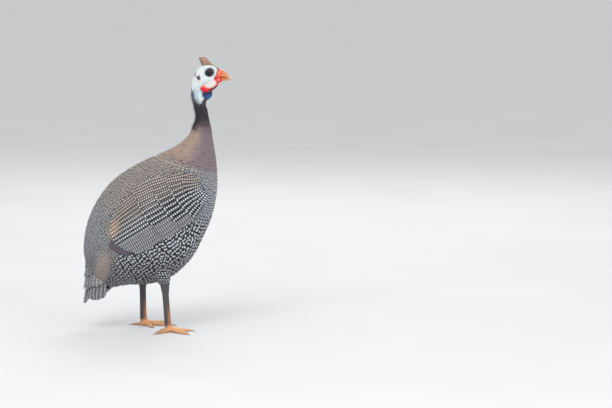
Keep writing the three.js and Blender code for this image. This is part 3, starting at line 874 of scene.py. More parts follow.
@dataclass
class Vanes:
    """Feathers on one surface, a row for each.

    A value that all the feathers share is given once.
    """

    first: Array
    second: Array
    along: Array | Pair
    across: Array | Pair
    length: Array
    half: Array | float
    look: Look
    deep: Array | float
    high: Array | float
    tilt: Array | float = 0.0
    cup: float = 0.5
    thick: float = 0.32
    root: float = 0.45
    patch: float = 0.003

    ROWS = ("first", "second", "along", "across", "length", "half", "deep", "high", "tilt")
    THINNEST = 0.12

    def __post_init__(self) -> None:
        """Makes a row for each feather of every value."""
        for name in self.ROWS:
            size = (len(self.first), 2) if name in ("along", "across") else (len(self.first),)
            setattr(self, name, np.broadcast_to(np.asarray(getattr(self, name), float), size))

    def take(self, keep: Array) -> "Vanes":
        """The feathers that are kept."""
        rows = {name: getattr(self, name)[keep] for name in self.ROWS}
        return Vanes(**rows, look=self.look.take(keep), cup=self.cup, thick=self.thick, root=self.root)

    def outline(self, share: Array) -> Array:
        """The half breadth of each feather along its length, as a share of its widest."""
        start = 1 - 0.95 * np.clip(self.half / self.length, 0, 1)[:, None]
        round_tip = np.sqrt(np.clip(1 - (np.clip(share - start, 0, 1) / (1 - start)) ** 2, 0, 1))
        return np.maximum(mix(self.root, 1.0, smooth(share, 0, 0.4)) * round_tip, self.THINNEST)

    def lift(self, share: Array, edge: Array, outer: Array) -> Array:
        """How far the feathers' points stand off the surface.

        Args:
            share: Shares along each feather.
            edge: Places across from -1 to 1.
            outer: 1 on the upper face and 0 on the lower.

        Returns:
            The height of each point of each feather.
        """
        rise = share**0.9
        height = rise * (self.high - self.deep)[:, None] + self.deep[:, None]
        height = height - self.tilt[:, None] * edge * rise - self.cup * edge**2 * rise
        return height - (1 - outer) * self.thick * mix(1.6, 0.8, share)

    def mesh(
        self, name: str, surface: Surface, shape: Shape, unwrap: Array, patches: Iterable[Zone] = ()
    ) -> Mesh:
        """Lays the feathers on their surface.

        Args:
            name: The mesh's name.
            surface: What they lie on.
            shape: The slab that each is bent from.
            unwrap: Where each root is on the unwrapped skin, from 0 to 1.
            patches: Patches of another ground colour.

        Returns:
            The mesh with its markings and its bake map.
        """
        count, size = len(self.first), len(shape.first)
        share = np.sin(np.pi / 2 * shape.first)[None, :] * np.ones((count, 1))
        edge, outer = shape.second[None, :], shape.outer[None, :]
        wide = edge * self.half[:, None] * self.outline(share)
        down = share * self.length[:, None]
        first, second = (
            start[:, None] + self.along[:, axis, None] * down + self.across[:, axis, None] * wide
            for axis, start in enumerate((self.first, self.second))
        )
        points = surface.place(first.ravel(), second.ravel(), self.lift(share, edge, outer).ravel())
        faces = (shape.faces[None] + np.arange(count)[:, None, None] * size).reshape(-1, 4)
        mesh = make_mesh(name, points, faces)
        to_tip = self.length[:, None] - down
        vane = np.stack([wide, to_tip], -1) / self.look.pitch[:, None, :]
        patch = np.stack([edge * np.ones_like(share), share * 2 - 1], -1) * self.patch / 2
        bake = np.clip(unwrap[:, None, :], 0.01, 0.99) + patch
        set_map(mesh, "Vane", vane.reshape(-1, 2))
        set_map(mesh, "OFBake", bake.reshape(-1, 2))
        set_colour(mesh, "Ground", zoned(np.repeat(self.look.ground, size, axis=0), points, patches))
        set_colour(mesh, "Spot", np.repeat(self.look.spot, size, axis=0))
        marks = np.column_stack([self.look.radius, self.look.bars, np.zeros(count)])
        set_vector(mesh, "Marks", np.repeat(marks, size, axis=0))
        return mesh


@dataclass(frozen=True)
class TreeKit:
    """Adds and joins the nodes of one shader tree."""

    tree: NodeTree

    @classmethod
    def material(cls, name: str, **values: float) -> tuple[Material, "TreeKit", Node]:
        """Starts a material.

        Args:
            name: Its name.
            values: Values of its shader, spaces written as underscores.
        """
        made = bpy.data.materials.new(name)
        made.use_nodes = True
        kit = cls(made.node_tree)
        shader = kit.tree.nodes["Principled BSDF"]
        kit.wire(shader, **values)
        return made, kit, shader

    def wire(self, node: Node, **inputs: object) -> None:
        """Feeds a node's inputs by name, spaces written as underscores."""
        for name, value in inputs.items():
            self.feed(node.inputs[name.replace("_", " ")], value)

    def add(self, kind: str, settings: dict[str, object] | None = None, **inputs: object) -> Node:
        """Adds a node.

        Args:
            kind: The node's type.
            settings: Its properties.
            inputs: Its inputs by name, spaces written as underscores, each a value or a socket to join.

        Returns:
            The node.
        """
        made = self.tree.nodes.new(kind)
        for name, value in (settings or {}).items():
            setattr(made, name, value)
        self.wire(made, **inputs)
        return made

    def feed(self, socket: Socket, value: object) -> None:
        """Joins a socket to another, or sets its value."""
        if isinstance(value, Socket):
            self.tree.links.new(value, socket)
        else:
            socket.default_value = value

    def maths(self, operation: str, *values: object) -> Socket:
        """A Math node's result."""
        made = self.add("ShaderNodeMath", {"operation": operation})
        for socket, value in zip(made.inputs, values):
            self.feed(socket, value)
        return made.outputs[0]

    def plus(self, one: object, other: object) -> Socket:
        """The sum of two values."""
        return self.maths("ADD", one, other)

    def times(self, one: object, other: object) -> Socket:
        """The product of two values."""
        return self.maths("MULTIPLY", one, other)

    def size(self, value: object) -> Socket:
        """A value without its sign."""
        return self.maths("ABSOLUTE", value)

    def ease(self, value: object, low: object, high: object, start: float = 0.0, end: float = 1.0) -> Socket:
        """A smooth step from start to end as value goes from low to high."""
        made = self.add("ShaderNodeMapRange", {"interpolation_type": "SMOOTHSTEP"}, Value=value)
        self.wire(made, From_Min=low, From_Max=high, To_Min=start, To_Max=end)
        return made.outputs[0]

    def blend(self, share: object, low: object, high: object, way: str = "MIX") -> Socket:
        """A blend of two colours.

        Args:
            share: How much of high it takes.
            low: A colour or a socket.
            high: A colour or a socket.
            way: The kind of blend.

        Returns:
            The blended colour's socket.
        """
        made = self.add("ShaderNodeMix", {"data_type": "RGBA", "blend_type": way})
        for index, value in ((0, share), (6, low), (7, high)):
            self.feed(made.inputs[index], (*value, 1) if isinstance(value, tuple) else value)
        return made.outputs[2]

    def emboss(self, shader: Node, strength: float, distance: float, height: object) -> None:
        """Joins a height to a shader as relief."""
        bump = self.add("ShaderNodeBump", None, Strength=strength, Distance=distance, Height=height)
        self.wire(shader, Normal=bump.outputs[0])


def new_group(name: str, takes: dict[str, str], gives: dict[str, str]) -> tuple[TreeKit, dict, dict]:
    """Starts a shader node group.

    Args:
        name: The group's name.
        takes: Its inputs by name, with their socket types.
        gives: Its outputs by name, with their socket types.
    """
    tree = bpy.data.node_groups.new(name, "ShaderNodeTree")
    for way, sockets in (("INPUT", takes), ("OUTPUT", gives)):
        for label, kind in sockets.items():
            tree.interface.new_socket(label, in_out=way, socket_type=kind)
    kit = TreeKit(tree)
    start, end = kit.add("NodeGroupInput"), kit.add("NodeGroupOutput")
    return kit, {s.name: s for s in start.outputs}, {s.name: s for s in end.inputs}


COLOUR, NUMBER, VECTOR = "NodeSocketColor", "NodeSocketFloat", "NodeSocketVector"
BARBS_PER_SPOT = 9.0
SPOT_EDGE = 0.07
SHAFT_HALF = 0.09


def marks_group() -> NodeTree:
    """Spots in rows and bars over a feather's own map, with its shaft and barbs as height."""
    takes = {"Vane": VECTOR, "Ground": COLOUR, "Spot": COLOUR, "Marks": VECTOR, "Wobble": NUMBER}
    kit, read, give = new_group("Feather marks", takes, {"Color": COLOUR, "Height": NUMBER})
    vane = kit.add("ShaderNodeSeparateXYZ", None, Vector=read["Vane"]).outputs
    marks = kit.add("ShaderNodeSeparateXYZ", None, Vector=read["Marks"]).outputs
    wobble = kit.times(read["Wobble"], 0.22)
    over = kit.plus(vane[0], wobble)
    down = kit.plus(vane[1], kit.times(wobble, 0.8))
    fore = [kit.maths("SUBTRACT", kit.maths("FRACT", axis), 0.5) for axis in (over, down)]
    far = kit.maths("SQRT", kit.plus(*(kit.times(axis, axis) for axis in fore)))
    inner, outer = (kit.maths(way, marks[0], SPOT_EDGE) for way in ("SUBTRACT", "ADD"))
    dots_in_rows = kit.times(kit.ease(far, inner, outer, 1.0, 0.0), kit.ease(marks[0], 0.03, 0.12))
    wave = kit.maths("SINE", kit.times(kit.plus(down, kit.times(kit.size(vane[0]), 0.25)), 2 * math.pi))
    bars = kit.times(kit.ease(wave, -0.1, 0.7), marks[1])
    spots = kit.times(dots_in_rows, kit.maths("SUBTRACT", 1.0, marks[1]))
    kit.feed(give["Color"], kit.blend(kit.plus(spots, bars), read["Ground"], read["Spot"]))
    barb = kit.plus(kit.times(vane[1], BARBS_PER_SPOT), kit.times(kit.size(vane[0]), BARBS_PER_SPOT))
    barbs = kit.maths("SINE", kit.times(barb, 2 * math.pi))
    shaft = kit.ease(kit.size(vane[0]), 0.0, SHAFT_HALF, 1.0, 0.0)
    kit.feed(give["Height"], kit.plus(kit.times(barbs, 0.35), shaft))
    return kit.tree


def grain_group() -> NodeTree:
    """Fine uneven grain over a surface: a mottled colour and a height."""
    takes = {"Color": COLOUR, "Dark": COLOUR, "Scale": NUMBER, "Amount": NUMBER}
    kit, read, give = new_group("Uneven grain", takes, {"Color": COLOUR, "Height": NUMBER})
    place = kit.add("ShaderNodeTexCoord").outputs["Object"]
    noise = kit.add("ShaderNodeTexNoise", None, Vector=place, Scale=read["Scale"], Detail=6.0, Roughness=0.62)
    cells = kit.add("ShaderNodeTexVoronoi", None, Vector=place, Scale=kit.times(read["Scale"], 3.0))
    share = kit.times(kit.ease(noise.outputs[0], 0.38, 0.66), read["Amount"])
    kit.feed(give["Color"], kit.blend(share, read["Color"], read["Dark"]))
    kit.feed(give["Height"], kit.plus(noise.outputs[0], kit.times(cells.outputs[0], 0.5)))
    return kit.tree


MARKS_GROUP = marks_group()
GRAIN_GROUP = grain_group()


@dataclass(frozen=True)
class FeatherFinish:
    """Vaned feathers: what they show comes from their own map and attributes."""

    name: str
    roughness: float = 0.72
    sheen: float = 0.12
    relief: float = 0.00006
    mottle: float = 340.0
    gloss: float = 0.35
    strength: float = 0.6

    def build(self) -> Material:
        """Makes the material."""
        values = {"Roughness": self.roughness, "Sheen_Weight": self.sheen, "Specular_IOR_Level": self.gloss}
        made, kit, shader = TreeKit.material(self.name, **values)
        place = kit.add("ShaderNodeTexCoord").outputs["Object"]
        noise = kit.add("ShaderNodeTexNoise", None, Vector=place, Scale=self.mottle, Detail=2.0)
        marks = kit.add("ShaderNodeGroup", {"node_tree": MARKS_GROUP})
        for name, way in (("Ground", "Color"), ("Spot", "Color"), ("Marks", "Vector")):
            read = kit.add("ShaderNodeAttribute", {"attribute_name": name})
            kit.feed(marks.inputs[name], read.outputs[way])
        vane = kit.add("ShaderNodeUVMap", {"uv_map": "Vane"}).outputs[0]
        kit.wire(marks, Vane=vane, Wobble=kit.maths("SUBTRACT", noise.outputs[0], 0.5))
        kit.wire(shader, Base_Color=marks.outputs["Color"])
        kit.emboss(shader, self.strength, self.relief, marks.outputs["Height"])
        return made


@dataclass(frozen=True)
class GrainFinish:
    """Skin, horn or scale: the tint comes from the piece's attribute, with uneven grain over it."""

    name: str
    roughness: float
    scale: float
    amount: float
    relief: float
    coat: float = 0.0
    soft: float = 0.0
    shade: float = 0.45
    gloss: float = 0.4
    depth: float = 0.002
    strength: float = 0.7

    def build(self) -> Material:
        """Makes the material."""
        values = {"Coat_Weight": self.coat, "Specular_IOR_Level": self.gloss, "Subsurface_Weight": self.soft}
        made, kit, shader = TreeKit.material(self.name, Subsurface_Scale=self.depth, **values)
        tint = kit.add("ShaderNodeAttribute", {"attribute_name": "Tint"}).outputs["Color"]
        dark = kit.blend(1.0, tint, (self.shade,) * 3, "MULTIPLY")
        takes = {"Color": tint, "Dark": dark, "Scale": self.scale, "Amount": self.amount}
        grain = kit.add("ShaderNodeGroup", {"node_tree": GRAIN_GROUP}, **takes).outputs
        rough = kit.ease(grain["Height"], 0.3, 1.0, self.roughness - 0.08, self.roughness + 0.12)
        kit.wire(shader, Base_Color=grain["Color"], Roughness=rough)
        kit.emboss(shader, self.strength, self.relief, grain["Height"])
        return made


@dataclass(frozen=True)
class Bump:
    """A swelling or hollow in the skin of the head: its middle and reach in the side view, and its height."""

    at: Pair
    reach: Pair
    height: float

    def lift(self, points: Array) -> Array:
        """How far each point moves out."""
        far = ((points[:, ::2] - self.at) / self.reach) ** 2
        return self.height * np.exp(-far.sum(axis=1))


@dataclass
class Skin:
    """The one skin of head, neck, body and thighs, held in by the depth of the coat."""

    sides: int = 128
    rows: int = 260
    face: Colour = (0.69, 0.74, 0.76)
    night: Colour = (0.020, 0.018, 0.024)
    night_z: Pair = (422, 438)
    neck_depth: float = 1.0
    body_depth: float = 3.6
    bill_rim: float = 1.6
    fold_height: float = 0.18
    thigh_depth: Pair = (-4.0, -2.0)
    thigh_end: float = 0.985
    eye_hollow: Bump = Bump((109.8, 488.6), (9.5, 9), -1.2)
    brow: Bump = Bump((111, 499), (9, 3), 0.8)
    cheek: Bump = Bump((98, 474), (7, 6), 0.6)
    ear_hollow: Bump = Bump((91, 478), (2.2, 2.6), -2.2)
    ear_rim: Bump = Bump((91.2, 482.6), (3.4, 1.4), 0.8)
    nape_grey: Zone = Zone((80.5, 494), (4.2, 12), (0.20, 0.24, 0.28), 0.5, 12)
    throat_dark: Zone = Zone((106, 425), (11.5, 16.5), (0.034, 0.026, 0.042), 0.2, 0)
    nape_dark: Zone = Zone((76, 430), (7, 15), (0.028, 0.024, 0.032), 0.3, -10)
    throat_blue: Zone = Zone((107, 448), (10.5, 9.6), (0.012, 0.036, 0.130), 0.22)
    throat_light: Zone = Zone((110, 443), (4.5, 3.6), (0.020, 0.120, 0.330), 0.6)
    neck_pale: Zone = Zone((86.4, 446), (8.2, 20), (0.58, 0.69, 0.76), 0.2, -8)
    eye_dark: Zone = Zone((111.8, 490.0), (8.4, 8.6), (0.034, 0.038, 0.056), 0.2, 30)
    ear_brown: Zone = Zone((91.2, 482.4), (2.2, 2.0), (0.40, 0.19, 0.12), 0.5)
    ear_hole: Zone = Zone((90.8, 478), (2.2, 2.3), (0.010, 0.006, 0.006), 0.3)
    gape_red: Zone = Zone((124.5, 476.5), (5.2, 7.6), (0.52, 0.030, 0.018), 0.3)
    bill_red: Zone = Zone((127.5, 487), (4.2, 7), (0.58, 0.11, 0.045), 0.3)

    def place(self, t: Array, angle: Array) -> Array:
        """Points of the skin.

        Args:
            t: Shares of the stations.
            angle: Angles from the back line.

        Returns:
            Points in millimetres.
        """
        out = BODY.point(t, angle)
        x, _, z = out.T
        depth = self.neck_depth * smooth(-z, -440, -420) + self.body_depth * smooth(-z, -395, -345)
        bumps = (self.eye_hollow, self.brow, self.cheek, self.ear_hollow, self.ear_rim)
        relief = sum(bump.lift(out) for bump in bumps) * smooth(np.abs(np.sin(angle)), 0.1, 0.5)
        wave = np.sin(z * 1.9 + 0.12 * x + 1.3 * np.sin(angle * 3))
        folds = self.fold_height * wave * smooth(-z, -462, -452) * smooth(z, 424, 432)
        rim = self.bill_rim * (1 - smooth(t, 0, 0.014)) ** 2
        return BODY.place(t, angle, relief + folds - depth - rim)

    def tint(self, points: Array) -> Array:
        """The skin's colour at each point."""
        ground = mix(self.face, self.night, 1 - smooth(points[:, 2], *self.night_z))
        return zoned(ground, points, (value for value in vars(self).values() if isinstance(value, Zone)))

    def build(self, finish: Material) -> Object:
        """Lofts the skin with its thighs and tints it."""
        mesh = join("Skin", loft(self.sides, self.rows, self.place), *(self.thigh(leg) for leg in LEGS))
        nodes = ("head", "neck_upper", "neck_lower", "torso", "thigh_left", "thigh_right")
        return add_tinted(mesh, self.tint(vertices(mesh)), finish, Slot.SKIN, *nodes)

    def thigh(self, leg: Leg) -> BMesh:
        """The flesh of one thigh, from inside the body to the hock."""
        form = ThighForm(leg)
        return loft(48, 40, lambda t, angle: form.place(t * self.thigh_end, angle, mix(*self.thigh_depth, t)))


PATCHES = (
    Zone((-68, 199), (9, 17), (0.23, 0.130, 0.058), 0.5, -20),
    Zone((-92, 122), (13, 30), (0.26, 0.19, 0.15), 0.5, -12),
)


class Unwrap:
    """Where things lie on the unwrapped skin."""

    @staticmethod
    def body(t: Array, angle: Array) -> Array:
        """The place of a root on the body."""
        return np.column_stack([(angle / (2 * np.pi)) % 1, t])

    @staticmethod
    def cells(count: int) -> tuple[Array, float]:
        """Gives each large feather its own cell, and the cell's size."""
        side = math.ceil(math.sqrt(count))
        rows = np.arange(count)
        return (np.column_stack([rows % side, rows // side]) + 0.5) / side, 0.9 / side


def rings(shares: Iterable[float], count: Callable[[float], int]) -> tuple[Array, Array]:
    """Roots in staggered rings.

    Args:
        shares: Where the rings lie.
        count: Gives how many roots the ring at a share has.

    Returns:
        The share and the angle of each root.
    """
    found = [(share, ring(count(share), number)) for number, share in enumerate(shares)]
    t = np.concatenate([np.full(len(turns), share) for share, turns in found])
    return t, np.concatenate([turns for _, turns in found])


def add_tier(name: str, vanes: Vanes, surface: Surface, shape: Shape, finish: Material) -> Object:
    """Lays a row of large feathers, each with a cell of its own on the bake map."""
    centres, vanes.patch = Unwrap.cells(len(vanes.first))
    return add_piece(vanes.mesh(name, surface, shape, centres, PATCHES), finish, Slot.QUILLS)


def add_flesh(name: str, shape: BMesh, finish: Material, node: str) -> Object:
    """Puts dark flesh that stands for a node below its feathers."""
    mesh = join(name, shape)
    return add_tinted(mesh, layered(MARKS.night, len(mesh.vertices), ()), finish, Slot.QUILLS, node)


@dataclass
class BodyCoat:
    """The contour feathers from the foot of the neck to the vent."""

    seed: int = 11
    start: float = BodyForm.at(11.6)
    end: float = BodyForm.at(24.2)
    piece_size: int = 1400
    gaps: Pair = (7.0, 3.2)
    gap_z: Pair = (300, 385)
    spacing: float = 1.1
    slants: Pair = (33.0, 60.0)
    covered_p: Pair = (14, 150)
    covered_q: Pair = (20, 18)
    lengths: Pair = (9.0, 25.0)
    halves: Pair = (2.2, 7.2)
    wing_rise: float = 5.0

    def gap(self, t: float) -> float:
        """How far apart the feathers are at a share."""
        z = BODY.middle(np.array([t]))[0, 2]
        return float(mix(*self.gaps, smooth(z, *self.gap_z)))

    def levels(self) -> Iterable[float]:
        """The shares at which the rings lie."""
        t = self.start
        while t < self.end:
            yield t
            runs = BODY.slopes(np.full(8, t), np.arange(8) * np.pi / 4)[0]
            t += self.gap(t) / float(np.mean(np.linalg.norm(runs, axis=1)))

    def count(self, t: float) -> int:
        """How many feathers the ring at a share has."""
        loop = BODY.point(np.full(64, t), np.linspace(0, 2 * np.pi, 65)[:-1])
        girth = np.linalg.norm(loop - np.roll(loop, 1, axis=0), axis=1).sum()
        return int(girth / (self.gap(t) * self.spacing))

    def lie(self, t: Array, angle: Array) -> Array:
        """The direction in which the feathers point.

        Args:
            t: Shares of the stations.
            angle: Angles from the back line.

        Returns:
            Directions of length one.
        """
        down = unit(BODY.slopes(t, angle)[0])
        x, _, z = BODY.point(t, angle).T
        flank = smooth(np.abs(np.sin(angle)), 0.25, 0.8) * smooth(-z, -330, -290)
        slant = np.radians(mix(*self.slants, smooth(-x, 60, 125)))
        side = np.column_stack([-np.cos(slant), np.zeros(len(t)), -np.sin(slant)])
        return unit(mix(down, side, flank * 0.8))

    def wing_places(self, t: Array, angle: Array) -> tuple[Array, Array, Array, Array]:
        """Where roots lie on the wing: its first, its second, and the second of its lower and upper edge."""
        wing = WingForm(Side.RIGHT)
        x, _, z = BODY.point(t, angle).T
        p, q = wing.reading(x, z)
        return p, q, line(p, Wing.low_edge), line(p, Wing.top_edge)

    def build(self, finish: Material) -> list[Object]:
        """Lays the coat, in pieces of a size that can be baked."""
        rng = np.random.default_rng(self.seed)
        t, angle = rings(self.levels(), self.count)
        t = t + rng.normal(0, 0.0006, len(t))
        angle = angle + rng.normal(0, 0.012, len(t))
        p, q, lower, upper = self.wing_places(t, angle)
        covered = (p > self.covered_p[0]) & (p < self.covered_p[1]) & (np.abs(np.sin(angle)) > 0.3)
        covered &= (q > lower + self.covered_q[0]) & (q < upper - self.covered_q[1])
        t, angle = t[~covered], angle[~covered]
        p, q, lower, upper = self.wing_places(t, angle)
        spot, lie = BODY.point(t, angle), self.lie(t, angle)
        body = smooth(-spot[:, 2], -385, -310)
        length = mix(*self.lengths, body) * rng.normal(1, 0.05, len(t))
        over = smooth(q, upper - 22, upper - 8) * (1 - smooth(q, upper - 2, upper + 20))
        over = over * smooth(p, -10, 12) * (1 - smooth(p, 130, 160)) * (np.abs(np.sin(angle)) > 0.2)
        look = MARKS.body(spot + lie * length[:, None] * 0.6, np.cos(angle))
        look.ground = np.clip(look.ground * rng.normal(1, 0.05, len(t))[:, None], 0, 1)
        vanes = Vanes(
            t, angle, *BODY.steps(t, angle, lie), length, mix(*self.halves, body), look,
            deep=mix(-1.2, -4.2, body),
            high=mix(0.4, 0.7, body) + self.wing_rise * over + rng.normal(0, 0.1, len(t)),
            tilt=np.sign(np.sin(angle)) * mix(0.1, 0.35, body),
            cup=0.6,
        )
        unwrap, shape = Unwrap.body(t, angle), Shape.slab(4, 6)
        pieces = []
        for number, start in enumerate(range(0, len(t), self.piece_size), 1):
            keep = np.arange(start, min(start + self.piece_size, len(t)))
            mesh = vanes.take(keep).mesh(f"Coat_{number}", BODY, shape, unwrap[keep], PATCHES)
            pieces.append(add_piece(mesh, finish, Slot.PLUMAGE))
        return pieces


@dataclass
class NeckCoat:
    """The short narrow feathers of the upper neck and the hairs of the nape."""

    seed: int = 5
    start: float = BodyForm.at(8.6)
    end: float = BodyForm.at(12.2)
    levels: int = 38
    counts: tuple[int, int] = (36, 60)
    hairs: int = 760
    hair_start: float = BodyForm.at(6.4)
    hair_end: float = BodyForm.at(11.8)
    hair_grey: Colour = (0.16, 0.18, 0.20)
    bare_z: float = 430.0

    def small_feathers(self, finish: Material) -> Object:
        """The small dark feathers that close the upper neck."""
        rng = np.random.default_rng(self.seed)
        levels = np.linspace(self.start, self.end, self.levels)
        full = BodyForm.at(11)
        t, angle = rings(levels, lambda share: int(mix(*self.counts, smooth(share, full, self.end))))
        t = t + rng.normal(0, 0.002, len(t))
        angle = angle + rng.normal(0, 0.05, len(t))
        z = BODY.point(t, angle)[:, 2]
        start = 427 + 13 * np.abs(np.cos(angle)) ** 0.7
        keep = (z < start) | ((z < start + 5) & (rng.random(len(t)) < 0.3))
        t, angle, z = t[keep], angle[keep], z[keep]
        count = len(t)
        lie = unit(BODY.slopes(t, angle)[0]) + rng.normal(0, 0.12, (count, 3))
        warm = mix(MARKS.mauve, MARKS.tan, smooth(np.cos(angle), -0.4, 0.4)) * 0.75
        ground = mix(MARKS.soot, warm, smooth(-z, -410, -385) * 0.9) * rng.normal(1, 0.15, count)[:, None]
        vanes = Vanes(
            t, angle, *BODY.steps(t, angle, lie), rng.normal(8, 1.0, count), rng.normal(0.85, 0.1, count),
            MARKS.plain(count, ground),
            deep=-1.2,
            high=rng.normal(0.45, 0.3, count),
            cup=0.25,
            thick=0.22,
        )
        mesh = vanes.mesh("Neck_feathers", BODY, Shape.slab(2, 4), Unwrap.body(t, angle))
        return add_piece(mesh, finish, Slot.NECK)

    def nape_hairs(self, finish: Material) -> Object:
        """The thin dark hairs up the back of the neck."""
        rng = np.random.default_rng(self.seed + 1)
        count = self.hairs
        t = mix(self.hair_start, self.hair_end, rng.random(count) ** 0.7)
        angle = rng.normal(0, 0.6, count)
        z = BODY.point(t, angle)[:, 2]
        lie = unit(BODY.slopes(t, angle)[0]) + rng.normal(0, 0.15, (count, 3))
        stand = np.where(rng.random(count) < 0.12, rng.uniform(2.5, 5.2, count), rng.uniform(0.4, 1.6, count))
        ground = mix(MARKS.soot, self.hair_grey, smooth(z, self.bare_z, 450) * 0.7)
        vanes = Vanes(
            t, angle, *BODY.steps(t, angle, lie), rng.uniform(8, 14, count), 0.17,
            MARKS.plain(count, ground),
            deep=np.where(z > self.bare_z, -0.1, -1.0),
            high=stand,
            cup=0.0,
            thick=0.26,
            root=0.9,
        )
        mesh = vanes.mesh("Nape_hairs", BODY, Shape.slab(1, 5), Unwrap.body(t, angle))
        return add_piece(mesh, finish, Slot.NECK)

    def build(self, finish: Material) -> list[Object]:
        """Dresses the neck."""
        return [self.small_feathers(finish), self.nape_hairs(finish)]


@dataclass(frozen=True)
class WingTier:
    """A row of wing feathers: roots and tips of its lowest and highest, in the wing's first and second."""

    name: str
    count: int
    root: tuple[Pair, Pair]
    tip: tuple[Pair, Pair]
    lift: float
    reach: float
    half: float
    barred: int = 0


@dataclass
class Wing:
    """A folded wing in rows of feathers, the lowest layer first."""

    side: Side
    seed: int = 3
    plum: Colour = (0.060, 0.050, 0.064)
    tiers: tuple[WingTier, ...] = (
        WingTier("Primaries", 6, ((80, -26), (86, -8)), ((180, -24), (196, -4)), 0.6, 0, 9),
        WingTier("Secondaries", 13, ((66, -28), (62, 58)), ((158, -32), (150, 46)), 1.8, 28, 9.6, 5),
        WingTier("Coverts", 12, ((34, -27), (32, 58)), ((98, -33), (106, 62)), 3.2, 5, 8.4, 4),
        WingTier("Median_coverts", 11, ((10, -20), (10, 50)), ((62, -31), (70, 60)), 4.2, 5, 7.6, 2),
        WingTier("Lesser_coverts", 10, ((-4, -8), (-4, 40)), ((34, -24), (42, 52)), 5.0, 5, 7.0),
        WingTier("Marginal_coverts", 8, ((-10, -1), (-10, 26)), ((12, -10), (18, 40)), 5.6, 4, 5.6),
    )
    top_edge: Knots = ((-4, 14), (10, 54), (45, 70), (88, 74), (130, 62), (160, 38), (182, 10))
    low_edge: Knots = ((-4, 0), (14, -20), (52, -34), (90, -38), (122, -36), (155, -26), (182, -12))
    flesh_top: Knots = ((0, 12), (10, 42), (45, 58), (88, 62), (130, 50), (160, 26), (170, 12))
    flesh_low: Knots = ((0, 2), (14, -10), (52, -24), (90, -29), (122, -27), (155, -18), (170, -12))

    def look(self, tier: WingTier, share: Array) -> Look:
        """What the feathers of one tier show.

        Args:
            tier: The row of feathers.
            share: Where each is, from the lowest to the highest.

        Returns:
            Bars on the lowest feathers and spots on the others, or the plum wash of the primaries.
        """
        if tier.name == "Primaries":
            return Look(tier.count, self.plum, np.array(self.plum) * 3.4, 0, 0.55, (8.0, 3.6))
        low = np.arange(tier.count) < tier.barred
        barred = low[:, None]
        upper = smooth(share, 0.45, 0.95)
        ground = mix(MARKS.night, np.array(MARKS.grizzle) * 0.9, upper)
        spot = mix(np.array(MARKS.white) * 1.05, np.array(MARKS.pale) * 1.05, upper)
        return Look(
            tier.count,
            np.where(barred, np.array(MARKS.ash) * 0.8, ground),
            np.where(barred, MARKS.silver, spot),
            np.where(low, 0.2, 0.29),
            np.where(low, 0.75, 0.0),
            np.where(barred, (9.0, 4.0), mix((6.4, 4.4), (4.8, 4.0), upper)),
        )

    def row(self, tier: WingTier, rng: np.random.Generator) -> Vanes:
        """The feathers of one tier.

        Args:
            tier: The row of feathers.
            rng: The wing's random numbers.

        Returns:
            The feathers, from the lowest to the highest.
        """
        share = np.linspace(0, 1, tier.count)
        root, tip = (mix(low, high, share) for low, high in (tier.root, tier.tip))
        tip[:, 0] += tier.reach * np.sin(np.pi * share) + rng.uniform(-1.2, 1.2, tier.count)
        length = np.linalg.norm(tip - root, axis=1)
        along = (tip - root) / length[:, None]
        across = np.column_stack([-along[:, 1], along[:, 0]])
        return Vanes(
            *root.T, along, across, length, tier.half, self.look(tier, share),
            deep=tier.lift - 1.2,
            high=tier.lift + 0.9,
            tilt=0.9,
            thick=0.5,
            root=0.6,
        )

    def build(self, finish: Material, flesh: Material) -> list[Object]:
        """Lays the wing."""
        rng = np.random.default_rng(self.seed)
        form, shape, word = WingForm(self.side), Shape.slab(10, 36), self.side.word
        return [self.core(flesh)] + [
            add_tier(f"{tier.name}_{word}", self.row(tier, rng), form, shape, finish) for tier in self.tiers
        ]

    def core(self, flesh: Material) -> Object:
        """The dark flesh of the wing below its feathers."""
        form = WingForm(self.side)

        def place(along: Array, across: Array, outer: Array) -> Array:
            """Points of the flesh inside the wing's outline."""
            p = mix(2.0, 168.0, along)
            q = mix(line(p, self.flesh_low), line(p, self.flesh_top), (across + 1) / 2)
            inner = -form.bulk(p, q) - 5
            return form.place(p, q, np.where(outer > 0.5, -0.6 * (1 - across**2 * 0.6), inner))

        word = self.side.word
        return add_flesh(f"Wing_flesh_{word}", slab(12, 24, place), flesh, f"wing_{word}")


OVER = FanForm((-119.5, 164), (-131.4, 47), 29, 34, 1)
UNDER = FanForm((-62, 100), (-95, 60), 23, 25, -1)


@dataclass(frozen=True)
class TailTier:
    """A row of tail feathers round a fan."""

    name: str
    fan: FanForm
    count: int
    start: float
    end: float
    shorter: float
    half: float
    out: float
    spread: float
    fine: bool = True

    def look(self) -> Look:
        """What the feathers show: fine grey spots and bars, or large white spots."""
        if self.fine:
            return Look(self.count, MARKS.ash, MARKS.silver, 0.29, 0.15, (4.8, 4.3))
        return Look(self.count, MARKS.night, MARKS.white, 0.29, 0.0, (6.5, 6.5))


